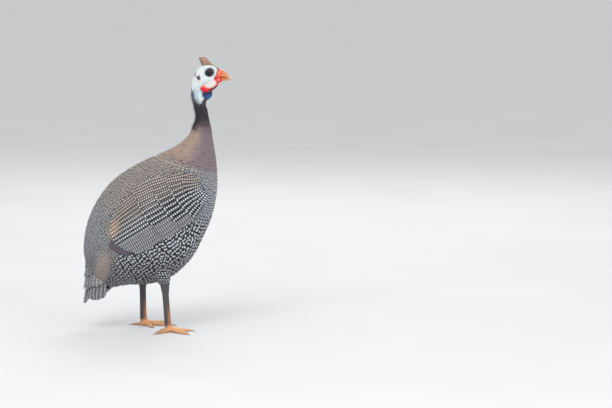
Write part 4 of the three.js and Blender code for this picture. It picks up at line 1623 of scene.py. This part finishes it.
@dataclass
class Tail:
    """The hanging tail with the coverts over and under it."""

    seed: int = 7
    tiers: tuple[TailTier, ...] = (
        TailTier("Tail_feathers", OVER, 15, 22, 117, 14, 9.4, 0.2, 86),
        TailTier("Lower_tail_coverts", OVER, 15, 10, 92, 16, 8.4, 2.6, 82),
        TailTier("Middle_tail_coverts", OVER, 14, 0, 70, 12, 7.6, 3.4, 80),
        TailTier("Upper_tail_coverts", OVER, 13, -10, 48, 8, 7.2, 4.0, 78),
        TailTier("Under_tail_coverts", UNDER, 9, 8, 53, 4, 8, 0.2, 76, False),
        TailTier("Vent_feathers", UNDER, 7, -6, 34, 2, 8.5, 3.0, 60, False),
    )
    inset: float = 3.0
    flesh_run: Pair = (-8.0, 60.0)
    flesh_below: Pair = (16.0, 3.0)

    def row(self, tier: TailTier, rng: np.random.Generator) -> Vanes:
        """The feathers of one tier.

        Args:
            tier: The row of feathers.
            rng: The tail's random numbers.

        Returns:
            The feathers, from one side to the other.
        """
        angle = np.radians(np.linspace(-tier.spread, tier.spread, tier.count))
        length = tier.end - tier.start - tier.shorter * np.sin(angle) ** 2
        length = length + rng.uniform(-9.0, 0.5, tier.count)
        return Vanes(
            np.full(tier.count, tier.start), angle, (1, 0), (0, 1 / (tier.fan.across + tier.out)), length,
            tier.half, tier.look(),
            deep=tier.out - 4.5,
            high=tier.out + 0.4,
            tilt=-0.9 * np.sign(np.round(angle, 3)),
            cup=0.4,
            thick=0.5,
            root=0.6,
        )

    def build(self, finish: Material, flesh: Material) -> list[Object]:
        """Lays the tail."""
        rng, shape = np.random.default_rng(self.seed), Shape.slab(8, 26)
        return [self.core(flesh)] + [
            add_tier(tier.name, self.row(tier, rng), tier.fan, shape, finish) for tier in self.tiers
        ]

    def core(self, flesh: Material) -> Object:
        """The flesh of the tail between its two fans."""

        def place(t: Array, angle: Array) -> Array:
            """Points of the flesh below the coverts."""
            reach = np.where(np.cos(angle) > 0, OVER.arch - self.inset, mix(*self.flesh_below, t))
            side = OVER.ridge(mix(*self.flesh_run, t), OVER.arch - reach * np.cos(angle))
            return np.column_stack([side[:, 0], np.sin(angle) * (OVER.across - self.inset), side[:, 1]])

        return add_flesh("Tail_flesh", loft(40, 24, place), flesh, "tail")


@dataclass
class ThighCoat:
    """The feathers of one thigh."""

    leg: Leg
    seed: int = 9
    levels: tuple[float, float, int] = (0.05, 0.80, 10)
    counts: tuple[int, int] = (26, 13)
    reaches: Pair = (33.0, 9.6)
    lengths: Pair = (17.0, 11.5)
    halves: Pair = (6.0, 3.4)

    def build(self, finish: Material) -> Object:
        """Lays the thigh's feathers in rings down to the hock."""
        rng = np.random.default_rng(self.seed)
        form = ThighForm(self.leg)
        first, second = rings(np.linspace(*self.levels), lambda share: int(mix(*self.counts, share)))
        count = len(first)
        fall = form.top[2] - form.hock_z
        length = mix(*self.lengths, first) * rng.normal(1, 0.05, count)
        length = np.minimum(length, (0.99 - first) * fall * rng.uniform(0.72, 1, count))
        across = np.column_stack([np.zeros(count), 1 / mix(*self.reaches, first**form.taper)])
        vanes = Vanes(
            first, second, (1 / fall, 0), across, length, mix(*self.halves, first),
            Look(count, MARKS.night, np.array(MARKS.white) * 0.75, 0.27, 0, (5.6, 5.6)),
            deep=mix(-3.6, -1.6, first),
            high=rng.normal(0.1, 0.15, count) - 1.4 * smooth(first, 0.55, 0.8),
            tilt=0.3,
        )
        unwrap = np.column_stack([second / (2 * np.pi) * 0.96 + 0.02, first])
        mesh = vanes.mesh(f"Thigh_feathers_{self.leg.side.word}", form, Shape.slab(4, 5), unwrap)
        return add_piece(mesh, finish, Slot.PLUMAGE)


Sizes = Callable[[Array, Array], tuple[Array, Array]]


def tube(path: Array | Knots, sizes: Sizes, sides: int, rows: int, ahead: Triple = (0, 0, 1)) -> BMesh:
    """A closed tube along a path.

    Args:
        path: Points that it runs through.
        sizes: Gives half sizes across and upright for shares along and angles from upright.
        sides: Faces around.
        rows: Faces along.
        ahead: The direction that upright is nearest to.

    Returns:
        The tube.
    """

    def place(t: Array, angle: Array) -> Array:
        """Points of the tube."""
        along = heading(path, t)
        across = unit(np.cross(np.array(ahead, float), along))
        upright = np.cross(along, across)
        wide, high = sizes(t, angle)
        over, up = np.sin(angle) * wide, np.cos(angle) * high
        return spline(path, t) + across * over[:, None] + upright * up[:, None]

    return loft(sides, rows, place)


def mirrored(point: Triple, side: Side) -> Triple:
    """A place of the left side on either side."""
    return point[0], point[1] * side.value, point[2]


@dataclass(frozen=True)
class Lid:
    """A ring of skin on the flank of the head.

    It has its middle and half sizes in the side view, its half thickness, how far it stands off the skin, and
    how thick its lower part is, as a share of its upper part.
    """

    at: Pair
    reach: Pair
    thick: float
    lift: float
    below: float = 1.0
    segments: int = 14
    steps: int = 72

    def build(self, side: Side) -> BMesh:
        """The ring on one side of the head, a little wrinkled."""
        bm = bmesh.new()
        made = bmesh.ops.create_circle(bm, segments=self.segments, radius=self.thick)["verts"]
        bmesh.ops.rotate(bm, verts=made, cent=(0, 0, 0), matrix=Matrix.Rotation(math.pi / 2, 3, "X"))
        bmesh.ops.translate(bm, verts=made, vec=(1 + self.thick, 0, 0))
        whole = {"cent": (0, 0, 0), "axis": (0, 0, 1), "angle": 2 * math.pi, "steps": self.steps}
        bmesh.ops.spin(bm, geom=made + bm.edges[:], use_merge=True, **whole)
        bmesh.ops.remove_doubles(bm, verts=bm.verts[:], dist=1e-5)
        x, y, z = np.array([v.co for v in bm.verts]).T
        turn = np.arctan2(y, x)
        wrinkles = 1 + 0.05 * np.sin(turn * 13) + 0.06 * np.sin(turn * 7 + 1)
        full = mix(self.below, 1.0, (1 + np.sin(turn)) / 2) * wrinkles
        out = (np.hypot(x, y) - 1 - self.thick) * full
        forward = self.at[0] + np.cos(turn) * (self.reach[0] + out)
        upward = self.at[1] + np.sin(turn) * (self.reach[1] + out)
        return bend(bm, head_side(side).place(forward, upward, self.lift + z * full))


def head_side(side: Side) -> FlankForm:
    """One side of the head, down to the jaw."""
    return FlankForm(side, 0, BodyForm.share("jaw"))


@dataclass
class Head:
    """The horn, bill, eyes, lids, ears and wattles of the head.

    The rows of casque are height, back, front and half breadth. Those of the bill are places of the side
    view, with half breadths of their own.
    """

    eye: Triple = (109.8, 7.8, 488.6)
    eye_radius: float = 7.0
    gaze: Triple = (0.14, 1, 0.02)
    ear: Pair = (91, 478)
    nostril: Pair = (133.0, 487.0)
    casque: Knots = (
        (489, 98.5, 128, 6.4), (492, 98.6, 127, 6.1), (498, 97.6, 122.6, 5.5), (503, 96, 117.2, 4.9),
        (508, 93.4, 112.6, 4.4), (513, 91, 108.4, 4.0), (516.4, 90.8, 105.6, 3.2), (517.6, 92.0, 104.2, 2.4),
        (518.2, 94.6, 101.8, 1.2),
    )
    ridge: Knots = ((112, 0, 503.4), (118, 0, 500), (123, 0, 496.8), (127.4, 0, 494.2), (130.5, 0, 492.6))
    culmen: Knots = (
        (121, 494), (127.3, 494.4), (133, 494), (139, 490.8), (144.6, 485.6), (149.4, 479.6),
        (152.2, 474.8),
    )
    bite: Knots = (
        (121, 477.8), (127.3, 478), (133, 479.2), (139, 479.4), (144.6, 478.2), (149.4, 476.2),
        (152.2, 473.8),
    )
    chin: Knots = (
        (121, 474.2), (127.3, 473.8), (132, 473.2), (137, 473.2), (142, 473.7), (147, 474.4), (150, 475.2),
    )
    upper_half: Knots = ((7.2,), (7.3,), (6.8,), (5.4,), (4.1,), (2.4,), (0.5,))
    lower_half: Knots = ((6.4,), (6.5,), (5.9,), (4.9,), (3.8,), (2.3,), (0.6,))
    bite_gap: float = 0.25
    wattle: Knots = (
        (124.5, 9, 474.5), (119, 12.4, 467.6), (110.5, 14.4, 462), (101, 15, 459), (93, 14, 458.4),
    )
    wattle_half: float = 8.6
    bulbs: tuple[tuple[Triple, Triple], ...] = (
        ((127, 8.8, 478.6), (5.0, 2.6, 3.6)),
        ((131, 7.4, 474.4), (3.8, 2.6, 3.8)),
        ((124.4, 9.8, 472.4), (3.8, 2.6, 4.2)),
    )
    lids: tuple[Lid, ...] = (
        Lid((109.8, 488.6), (5.8, 4.9), 0.55, 0.75, 0.8),
        Lid((109.6, 488.8), (7.0, 6.2), 0.85, -0.25, 0.6),
        Lid((109.5, 489.2), (8.5, 7.7), 0.95, -0.75, 0.3),
        Lid((91.0, 478.0), (2.9, 3.1), 0.75, -0.2),
    )
    horn_tint: Colour = (0.36, 0.215, 0.155)
    horn_rear: Colour = (0.085, 0.042, 0.042)
    horn_foot: Colour = (0.13, 0.085, 0.070)
    horn_top: Colour = (0.52, 0.34, 0.25)
    horn_front: Colour = (0.48, 0.16, 0.075)
    bill_tint: Colour = (0.62, 0.235, 0.085)
    bill_tip: Colour = (0.70, 0.47, 0.29)
    cere_tint: Colour = (0.80, 0.150, 0.070)
    nostril_tint: Colour = (0.05, 0.012, 0.008)
    eye_black: Colour = (0.005, 0.004, 0.004)
    iris: Colour = (0.030, 0.015, 0.012)
    lid_dark: Colour = (0.014, 0.013, 0.018)
    lid_pale: Colour = (0.40, 0.48, 0.54)
    lid_shade: Zone = Zone((112.4, 491.2), (7.6, 7.4), (0.030, 0.034, 0.050), 0.3, 30, 0.9)
    ear_tint: Colour = (0.42, 0.36, 0.35)
    bristle_tint: Colour = (0.30, 0.10, 0.045)
    wattle_tint: Colour = (0.74, 0.010, 0.012)
    wattle_deep: Zone = Zone((117.5, 459), (11, 3.4), (0.16, 0.006, 0.014), 0.5, 30)
    wattle_glow: Zone = Zone((97.5, 465), (5.0, 3.0), (0.86, 0.19, 0.04), 0.6)
    wattle_pale: Zone = Zone((112.5, 468.2), (11.2, 7.6), (0.78, 0.70, 0.67), 0.28, 14)
    gape_pale: Zone = Zone((128.5, 475.4), (2.0, 2.0), (0.62, 0.42, 0.36), 0.5)

    def make_casque(self, finish: Material) -> Object:
        """The bony casque with its ridge down to the bill."""

        def place(t: Array, angle: Array) -> Array:
            """Points of the casque."""
            height, back, front, half = spline(self.casque, t).T
            knots = 0.34 * np.sin(3 * angle + height * 0.55) * np.sin(height * 0.9 + 2 * np.cos(angle))
            x = (back + front) / 2 + ((front - back) / 2 - 0.3 + knots * 0.5) * np.cos(angle)
            y = (half - 0.3 + knots) * np.sign(np.sin(angle)) * np.abs(np.sin(angle)) ** 0.8
            return np.column_stack([x, y, height + 0.25 * np.sin(angle * 5) * (1 - t)])

        ridge = tube(self.ridge, lambda t, angle: (mix(4.2, 2.2, t), mix(3.0, 1.6, t)), 28, 40)
        mesh = join("Casque_horn", loft(72, 90, place), ridge)
        x, _, z = vertices(mesh).T
        tint = layered(self.horn_tint, len(x), (
            (self.horn_rear, (1 - smooth(x + (z - 492) * 0.33, 98.5, 104)) * 0.85),
            (self.horn_foot, (1 - smooth(z, 497, 506)) * 0.75),
            (self.horn_top, smooth(z, 506, 517) * 0.5),
            (self.horn_front, smooth(x, 125, 130) * 0.7),
        ))
        return add_tinted(mesh, tint, finish, Slot.HORN, "casque")

    def half_bill(self, top: Knots, low: Knots, half: Knots, lift: float, rows: int) -> BMesh:
        """One half of the bill.

        Args:
            top: Its upper edge in the side view.
            low: Its lower edge in the side view.
            half: Its half breadths.
            lift: Where its widest line is, as a share of the way from its lower to its upper edge.
            rows: Faces along.

        Returns:
            The half bill with its cere and nostrils.
        """

        def place(t: Array, angle: Array) -> Array:
            """Points of the half bill."""
            (x, up), (_, down) = spline(top, t).T, spline(low, t).T
            middle = mix(down, up, lift)
            z = middle + np.cos(angle) * np.where(np.cos(angle) > 0, up - middle, middle - down)
            y = spline(half, t)[:, 0] * np.sin(angle)
            cere = 0.5 * np.exp(-(((x - 132.5) / 4.6) ** 2) - ((z - 487.4) / 5.2) ** 2)
            hole = 1.5 * np.exp(-(((x - self.nostril[0]) / 2.1) ** 2) - ((z - self.nostril[1]) / 1.25) ** 2)
            return np.column_stack([x, y + np.sign(y) * (cere - hole) * smooth(np.abs(y), 0.5, 3), z])

        return loft(64, rows, place)

    def make_bill(self, finish: Material) -> list[Object]:
        """The two halves of the bill."""
        top = np.array(self.chin)
        top[:, 1] = line(top[:, 0], self.bite) + self.bite_gap
        pieces = []
        for name, shape, node in (
            ("Upper_bill", self.half_bill(self.culmen, self.bite, self.upper_half, 0.25, 120), "bill_upper"),
            ("Lower_bill", self.half_bill(top, self.chin, self.lower_half, 0.7, 80), "bill_lower"),
        ):
            mesh = join(name, shape)
            x, _, z = vertices(mesh).T
            hole = np.hypot((x - self.nostril[0]) / 2.0, (z - self.nostril[1]) / 1.2)
            tint = layered(self.bill_tint, len(x), (
                (self.bill_tip, smooth(x - (z - 478) * 0.25, 140, 150)),
                (self.cere_tint, (1 - smooth(x, 135, 141)) * smooth(z, 478.5, 482) * 0.9),
                (self.nostril_tint, 1 - smooth(hole, 0.5, 1.1)),
            ))
            # painted shade: both halves of the bill are darker along the crease where they meet
            shade = mix(0.62, 1.0, smooth(np.abs(z - line(x, self.bite)), 0.1, 0.9))[:, None]
            pieces.append(add_tinted(mesh, tint * shade, finish, Slot.BILL, node))
        return pieces

    def make_eye(self, side: Side, finish: Material) -> Object:
        """One eyeball, its iris round an axis that looks out and a little ahead."""
        at = mirrored(self.eye, side)
        mesh = join(f"Eye_ball_{side.word}", ball(at, (self.eye_radius,) * 3, 96))
        out = unit(vertices(mesh) - np.array(at))
        far = np.degrees(np.arccos(np.clip(out @ unit(np.array(mirrored(self.gaze, side))), -1, 1)))
        tint = mix(self.eye_black, self.iris, smooth(far, 22, 25) * (1 - smooth(far, 42, 46)))
        return add_tinted(mesh, tint, finish, Slot.EYE, f"eye_{side.word}")

    def make_lids(self, side: Side, finish: Material) -> Object:
        """The rings of lid and fold about one eye and the rim of one ear."""
        mesh = join(f"Lids_{side.word}", *(lid.build(side) for lid in self.lids))
        at = vertices(mesh)
        from_eye, from_ear = (
            np.hypot(at[:, 0] - x, at[:, 2] - z) for x, z in ((self.eye[0], self.eye[2]), self.ear)
        )
        tint = zoned(mix(self.lid_dark, self.lid_pale, smooth(from_eye, 6.2, 7.9)), at, (self.lid_shade,))
        tint = mix(tint, self.ear_tint, 1 - smooth(from_ear, 4.4, 5))
        return add_tinted(mesh, tint, finish, Slot.SKIN)

    def make_bristles(self, side: Side, finish: Material) -> Object:
        """The short brown bristles over one ear."""
        rng = np.random.default_rng(21)
        count = 60
        x, z = rng.normal(91.6, 1.6, count), rng.normal(481.8, 1.3, count)
        turn = np.radians(rng.normal(215, 22, count))
        along = np.column_stack([np.cos(turn), np.sin(turn)])
        across = np.column_stack([-np.sin(turn), np.cos(turn)])
        look = MARKS.plain(count, self.bristle_tint * rng.uniform(0.15, 0.8, count)[:, None])
        vanes = Vanes(
            x, z, along, across, rng.uniform(2.6, 4.6, count), 0.12, look,
            deep=-0.6,
            high=rng.uniform(0.5, 1.5, count),
            cup=0.0,
            thick=0.2,
            root=0.9,
        )
        unwrap = Unwrap.body((500 - z) / 600, np.full(count, math.pi / 2 * side.value))
        mesh = vanes.mesh(f"Ear_bristles_{side.word}", head_side(side), Shape.slab(1, 4), unwrap)
        return add_piece(mesh, finish, Slot.NECK)

    def make_wattle(self, side: Side, finish: Material) -> Object:
        """One wattle, fused to the folds about the gape."""
        path = np.array(self.wattle) * (1, side.value, 1)

        def place(t: Array, across: Array, outer: Array) -> Array:
            """Points of the flap."""
            along = heading(path, t)
            free = unit(np.column_stack([along[:, 2], np.zeros(len(t)), -along[:, 0]]))
            narrow = 1 - 0.8 * smooth(t, 0.88, 1) ** 2
            wide = self.wattle_half * np.sin(np.pi * mix(0.16, 0.93, t)) ** 0.7 * narrow
            edge = -across
            rim = smooth(np.abs(edge), 0.45, 0.85) * smooth(t, 0.2, 0.6)
            lobe = 2.0 * smooth(t, 0.5, 0.8) * (1 - smooth(t, 0.88, 1)) * (1 - edge * edge)
            thick = (mix(1.0, 1.6, rim) + lobe) * (1 - 0.5 * np.abs(edge) ** 12)
            flare = 2.2 * edge * np.sin(np.pi / 2 * np.clip(t * 1.4, 0, 1))
            fold = (0.5 * np.cos(t * 5 * np.pi) + 0.35 * np.cos(t * 17 + 2)) * edge
            fold = fold + 0.16 * np.sin(edge * 8 + t * 9)
            out = (flare + fold + thick * np.where(outer > 0.5, 1, -1)) * side.value
            return spline(path, t) + free * (wide * edge)[:, None] + np.outer(out, (0, 1, 0))

        bulbs = (ball(mirrored(at, side), size, 32) for at, size in self.bulbs)
        mesh = fuse(join(f"Wattle_skin_{side.word}", slab(28, 56, place), *bulbs), 0.0004, 3)
        zones = (self.wattle_deep, self.wattle_glow, self.wattle_pale, self.gape_pale)
        tint = zoned(self.wattle_tint, vertices(mesh), zones)
        return add_tinted(mesh, tint, finish, Slot.WATTLE, f"wattle_{side.word}")


@dataclass(frozen=True)
class Toe:
    """A toe: its length, its half thickness at root and tip, its claw, its rise, its plates and its start."""

    length: float
    thick: float
    tip: float
    claw: float
    lift: float
    plates: int
    start: float = 3.0

    @property
    def low(self) -> float:
        """The height of its end's middle."""
        return self.tip - 0.63


TOES = (
    Toe(34, 4.1, 2.9, 11, 0, 9),
    Toe(47, 4.5, 3.0, 13, 0, 12),
    Toe(37, 4.1, 2.9, 11, 0, 10),
    Toe(21, 2.9, 2.2, 9, 3.4, 6, 2.0),
)
UPRIGHT_FROM_FRONT = (1, 0, 0)


@dataclass
class Foot:
    """The shank, the foot and the claws of one leg."""

    leg: Leg
    plates: int = 19
    step: float = 0.5
    shank_top: float = 89.5
    shank_end: float = 12.0
    shank_back: float = 4.0
    shank_tint: Colour = (0.075, 0.062, 0.064)
    shank_front: Colour = (0.46, 0.19, 0.075)
    toe_tint: Colour = (0.80, 0.40, 0.17)
    sole_tint: Colour = (0.48, 0.26, 0.17)
    tip_tint: Colour = (0.62, 0.36, 0.22)
    ankle_tint: Colour = (0.30, 0.15, 0.09)
    claw_tint: Colour = (0.50, 0.38, 0.28)
    claw_tip: Colour = (0.30, 0.21, 0.15)

    def path(self, number: int, start: float, end: float, heights: tuple[float, ...]) -> list[Triple]:
        """Points along a toe's heading.

        Args:
            number: The toe.
            start: How far from the toe's root the first point is.
            end: How far from it the last point is.
            heights: The height of each point.

        Returns:
            The points.
        """
        turn = math.radians(self.leg.toes[number])
        outs = np.linspace(start, end, len(heights)) + TOES[number].start
        x, y = self.leg.foot
        return [(x + math.cos(turn) * out, y + math.sin(turn) * out, z) for out, z in zip(outs, heights)]

    def make_shank(self, finish: Material) -> Object:
        """The scaly shank with the broad plates down its front."""
        top = np.array([*self.leg.hock, self.shank_top])
        bottom = np.array([self.leg.foot[0] - self.shank_back, self.leg.foot[1], self.shank_end])

        def sizes(t: Array, angle: Array) -> tuple[Array, Array]:
            """Half sizes with the plates' lower edges standing out."""
            slim, flare = smooth(t, 0, 0.28), smooth(t, 0.72, 1)
            deep = mix(mix(8.3, 5.9, slim), 6.3, flare)
            wide = mix(mix(6.9, 4.8, slim), 5.5, flare)
            front = smooth(np.cos(angle), 0.05, 0.55)
            share = (t * self.plates) % 1
            side = (t * self.plates * 1.6 + 0.5 * (np.sin(angle) > 0)) % 1
            more = self.step * (share**1.6 * front + 0.5 * side**1.6 * (1 - front))
            return wide + more * 0.6, deep + more

        shape = tube((top, (top + bottom) / 2, bottom), sizes, 56, 230, UPRIGHT_FROM_FRONT)
        mesh = join(f"Shank_scales_{self.leg.side.word}", shape)
        x, _, z = vertices(mesh).T
        share = (self.shank_top - z) / (self.shank_top - self.shank_end)
        front = smooth((x - mix(top[0], bottom[0], share)) / 6, -0.1, 0.7)
        tint = mix(self.shank_tint, self.shank_front, front * smooth(share, 0.40, 0.85) * 0.85)
        seam = smooth((share * self.plates) % 1, 0.86, 1.0)
        tint = tint * (1 - 0.5 * seam)[:, None]
        return add_tinted(mesh, tint, finish, Slot.SHANK, f"shank_{self.leg.side.word}")

    def make_toe(self, number: int) -> BMesh:
        """One toe with plates over it and pads below it."""
        toe = TOES[number]
        heights = (toe.thick + 1.6 + toe.lift, toe.thick - 0.5 + toe.lift * 0.55, toe.low + 0.5, toe.low)

        def sizes(t: Array, angle: Array) -> tuple[Array, Array]:
            """Half sizes along the toe."""
            half = mix(toe.thick, toe.tip, t) * (1 + 0.07 * np.cos(t * np.pi * 6))
            half = half * np.sqrt(1 - smooth(t, 0.93, 1.0) * 0.5)
            plate = 0.42 * ((t * toe.plates) % 1) ** 1.5 * smooth(np.cos(angle), -0.1, 0.4)
            pads = 0.35 * np.abs(np.sin(t * np.pi * 3)) * smooth(-np.cos(angle), 0.2, 0.9)
            return half * 0.94 + plate * 0.5, half + plate + pads

        return tube(self.path(number, 0, toe.length, heights), sizes, 32, 110)

    def make_foot(self, finish: Material) -> Object:
        """The toes, the pad and the ankle."""
        x, y = self.leg.foot

        def sizes(t: Array, angle: Array) -> tuple[Array, Array]:
            """Half sizes of the ankle with its four plates."""
            plate = (t * 4 % 1) ** 1.5
            return mix(5.6, 7.0, t) + 0.3 * plate, mix(6.4, 8.0, t) + 0.4 * plate

        ankle = tube(((x - 4, y, 13.9), (x - 2.5, y, 8.5), (x - 1, y, 3)), sizes, 48, 64, UPRIGHT_FROM_FRONT)
        toes = [self.make_toe(number) for number in range(len(TOES))]
        mesh = join(f"Foot_scales_{self.leg.side.word}", *toes, ankle, ball((x, y, 3.4), (9.3, 8.5, 4.5), 48))
        at = vertices(mesh)
        at[:, 2] = np.maximum(at[:, 2], 0)
        mesh.vertices.foreach_set("co", PLACE.metres(at).ravel())
        ahead, over, z = at[:, 0] - x, at[:, 1] - y, at[:, 2]
        tint = layered(self.toe_tint, len(at), (
            (self.sole_tint, 1 - smooth(z, 0.6, 3.2)),
            (self.tip_tint, smooth(np.hypot(ahead, over), 18, 46) * 0.7),
            (self.ankle_tint, smooth(z - ahead * 0.5, 8, 15) * 0.8),
        ))
        return add_tinted(mesh, tint, finish, Slot.TOE, f"foot_{self.leg.side.word}")

    def make_claw(self, number: int, finish: Material) -> Object:
        """The claw at the end of one toe."""
        toe = TOES[number]
        heights = (toe.low + 0.2, toe.low + 0.5, toe.low * 0.7 + 0.2, 0.85)
        size = toe.tip * 0.74

        def sizes(t: Array, angle: Array) -> tuple[Array, Array]:
            """Half sizes of the claw."""
            return size * mix(0.82, 0.14, t), size * mix(1.0, 0.18, t)

        name = f"{self.leg.side.word}_{number + 1}"
        shape = tube(self.path(number, toe.length - 1.6, toe.length + toe.claw, heights), sizes, 28, 36)
        mesh = join(f"Claw_horn_{name}", shape)
        x, y, _ = vertices(mesh).T
        start = toe.length + toe.start
        share = smooth(np.hypot(x - self.leg.foot[0], y - self.leg.foot[1]), start, start + toe.claw)
        return add_tinted(mesh, mix(self.claw_tint, self.claw_tip, share), finish, Slot.CLAW, f"claw_{name}")


@dataclass(frozen=True)
class Lamp:
    """A soft square lamp: its name, its place and size in metres, and its power in watts."""

    name: str
    at: Triple
    size: float
    power: float


@dataclass(frozen=True)
class Studio:
    """The pale floor, the soft light and the camera."""

    target: Triple = (293, 0, 238.8)
    lit: Triple = (0, 0, 240)
    distance: float = 5.0
    down: float = math.radians(6)
    lens: float = 154.8
    sensor: float = 36.0
    farthest: float = 200.0
    world: Colour = (0.86, 0.87, 0.88)
    world_strength: float = 0.95
    floor_radius: float = 60.0
    floor_dark: Colour = (0.67, 0.67, 0.68)
    floor_light: Colour = (0.69, 0.69, 0.70)
    lamps: tuple[Lamp, ...] = (
        Lamp("Key", (-0.9, -2.4, 2.6), 1.8, 54),
        Lamp("Fill", (2.4, -2.0, 1.4), 2.2, 22),
        Lamp("Back", (0.4, 2.4, 2.2), 1.8, 26),
    )

    def floor(self) -> Object:
        """A wide pale floor at zero."""
        bm = bmesh.new()
        bmesh.ops.create_circle(bm, cap_ends=True, segments=96, radius=self.floor_radius)
        mesh = bpy.data.meshes.new("Floor")
        bm.to_mesh(mesh)
        bm.free()
        finish, kit, shader = TreeKit.material("Floor", Roughness=0.85)
        place = kit.add("ShaderNodeTexCoord").outputs["Object"]
        noise = kit.add("ShaderNodeTexNoise", None, Vector=place, Scale=3.0, Detail=3.0)
        tint = kit.blend(kit.ease(noise.outputs[0], 0.3, 0.7), self.floor_dark, self.floor_light)
        kit.wire(shader, Base_Color=tint)
        mesh.materials.append(finish)
        piece = link("Floor", mesh)
        piece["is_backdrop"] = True
        return piece

    def light(self, lamp: Lamp) -> Object:
        """Hangs a lamp so that it looks at the bird."""
        data = bpy.data.lights.new(lamp.name, "AREA")
        data.size, data.energy = lamp.size, lamp.power
        piece = link(lamp.name, data)
        piece.location = lamp.at
        aim = Vector(PLACE.metres(self.lit)) - piece.location
        piece.rotation_euler = aim.to_track_quat("-Z", "Y").to_euler()
        return piece

    def camera(self) -> Object:
        """The camera at the angle of the picture."""
        data = bpy.data.cameras.new("Camera")
        data.lens, data.sensor_width, data.clip_end = self.lens, self.sensor, self.farthest
        piece = link("Camera", data)
        way = Vector((0, -math.cos(self.down), math.sin(self.down)))
        piece.location = Vector(PLACE.metres(self.target)) + way * self.distance
        piece.rotation_euler = (-way).to_track_quat("-Z", "Y").to_euler()
        bpy.context.scene.camera = piece
        return piece

    def build(self) -> None:
        """Sets up the stage."""
        self.floor()
        for lamp in self.lamps:
            self.light(lamp)
        world = bpy.data.worlds.new("Studio")
        world.use_nodes = True
        colour, strength = world.node_tree.nodes["Background"].inputs[:2]
        colour.default_value = (*self.world, 1)
        strength.default_value = self.world_strength
        bpy.context.scene.world = world
        bpy.context.scene.view_settings.view_transform = "Standard"
        self.camera()


FINISHES = (
    FeatherFinish("Feathers"),
    FeatherFinish("Quills", roughness=0.6, sheen=0.06, relief=0.00009),
    GrainFinish("Bare skin", 0.58, 420, 0.5, 0.0005, coat=0.05, soft=0.08, shade=0.6),
    GrainFinish("Flesh", 0.8, 300, 0.3, 0.0003),
    GrainFinish("Horn", 0.62, 330, 0.8, 0.0007, coat=0.05),
    GrainFinish("Bill", 0.42, 260, 0.35, 0.0002, coat=0.25, soft=0.05, shade=0.7),
    GrainFinish("Wattle", 0.45, 520, 0.5, 0.0005, coat=0.25, soft=0.12, shade=0.6),
    GrainFinish("Eye", 0.1, 900, 0.4, 0.00001, coat=0.3, gloss=0.2),
    GrainFinish("Scales", 0.5, 620, 0.35, 0.0004, coat=0.12, shade=0.6),
    GrainFinish("Claws", 0.4, 420, 0.5, 0.0002, coat=0.2, shade=0.6),
)


def write_sizes() -> None:
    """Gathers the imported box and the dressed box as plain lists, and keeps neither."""
    boxes = {"cad": CAD_BOX, "scene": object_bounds()}
    {name: [list(corner) for corner in box] for name, box in boxes.items()}


def main() -> None:
    """Builds the bird from its skin outwards, then the stage."""
    logging.basicConfig(level=logging.INFO, format="%(name)s: %(message)s")
    made = {finish.name: finish.build() for finish in FINISHES}
    Skin().build(made["Bare skin"])
    head = Head()
    head.make_casque(made["Horn"])
    head.make_bill(made["Bill"])
    for side in Side:
        head.make_eye(side, made["Eye"])
        head.make_lids(side, made["Bare skin"])
        head.make_bristles(side, made["Feathers"])
        head.make_wattle(side, made["Wattle"])
        Wing(side).build(made["Quills"], made["Flesh"])
    NeckCoat().build(made["Feathers"])
    BodyCoat().build(made["Feathers"])
    Tail().build(made["Quills"], made["Flesh"])
    for leg in LEGS:
        ThighCoat(leg).build(made["Feathers"])
        foot = Foot(leg)
        foot.make_shank(made["Scales"])
        foot.make_foot(made["Scales"])
        for number in range(len(TOES)):
            foot.make_claw(number, made["Claws"])
    Studio().build()
    write_sizes()


if __name__ == "__main__":
    main()
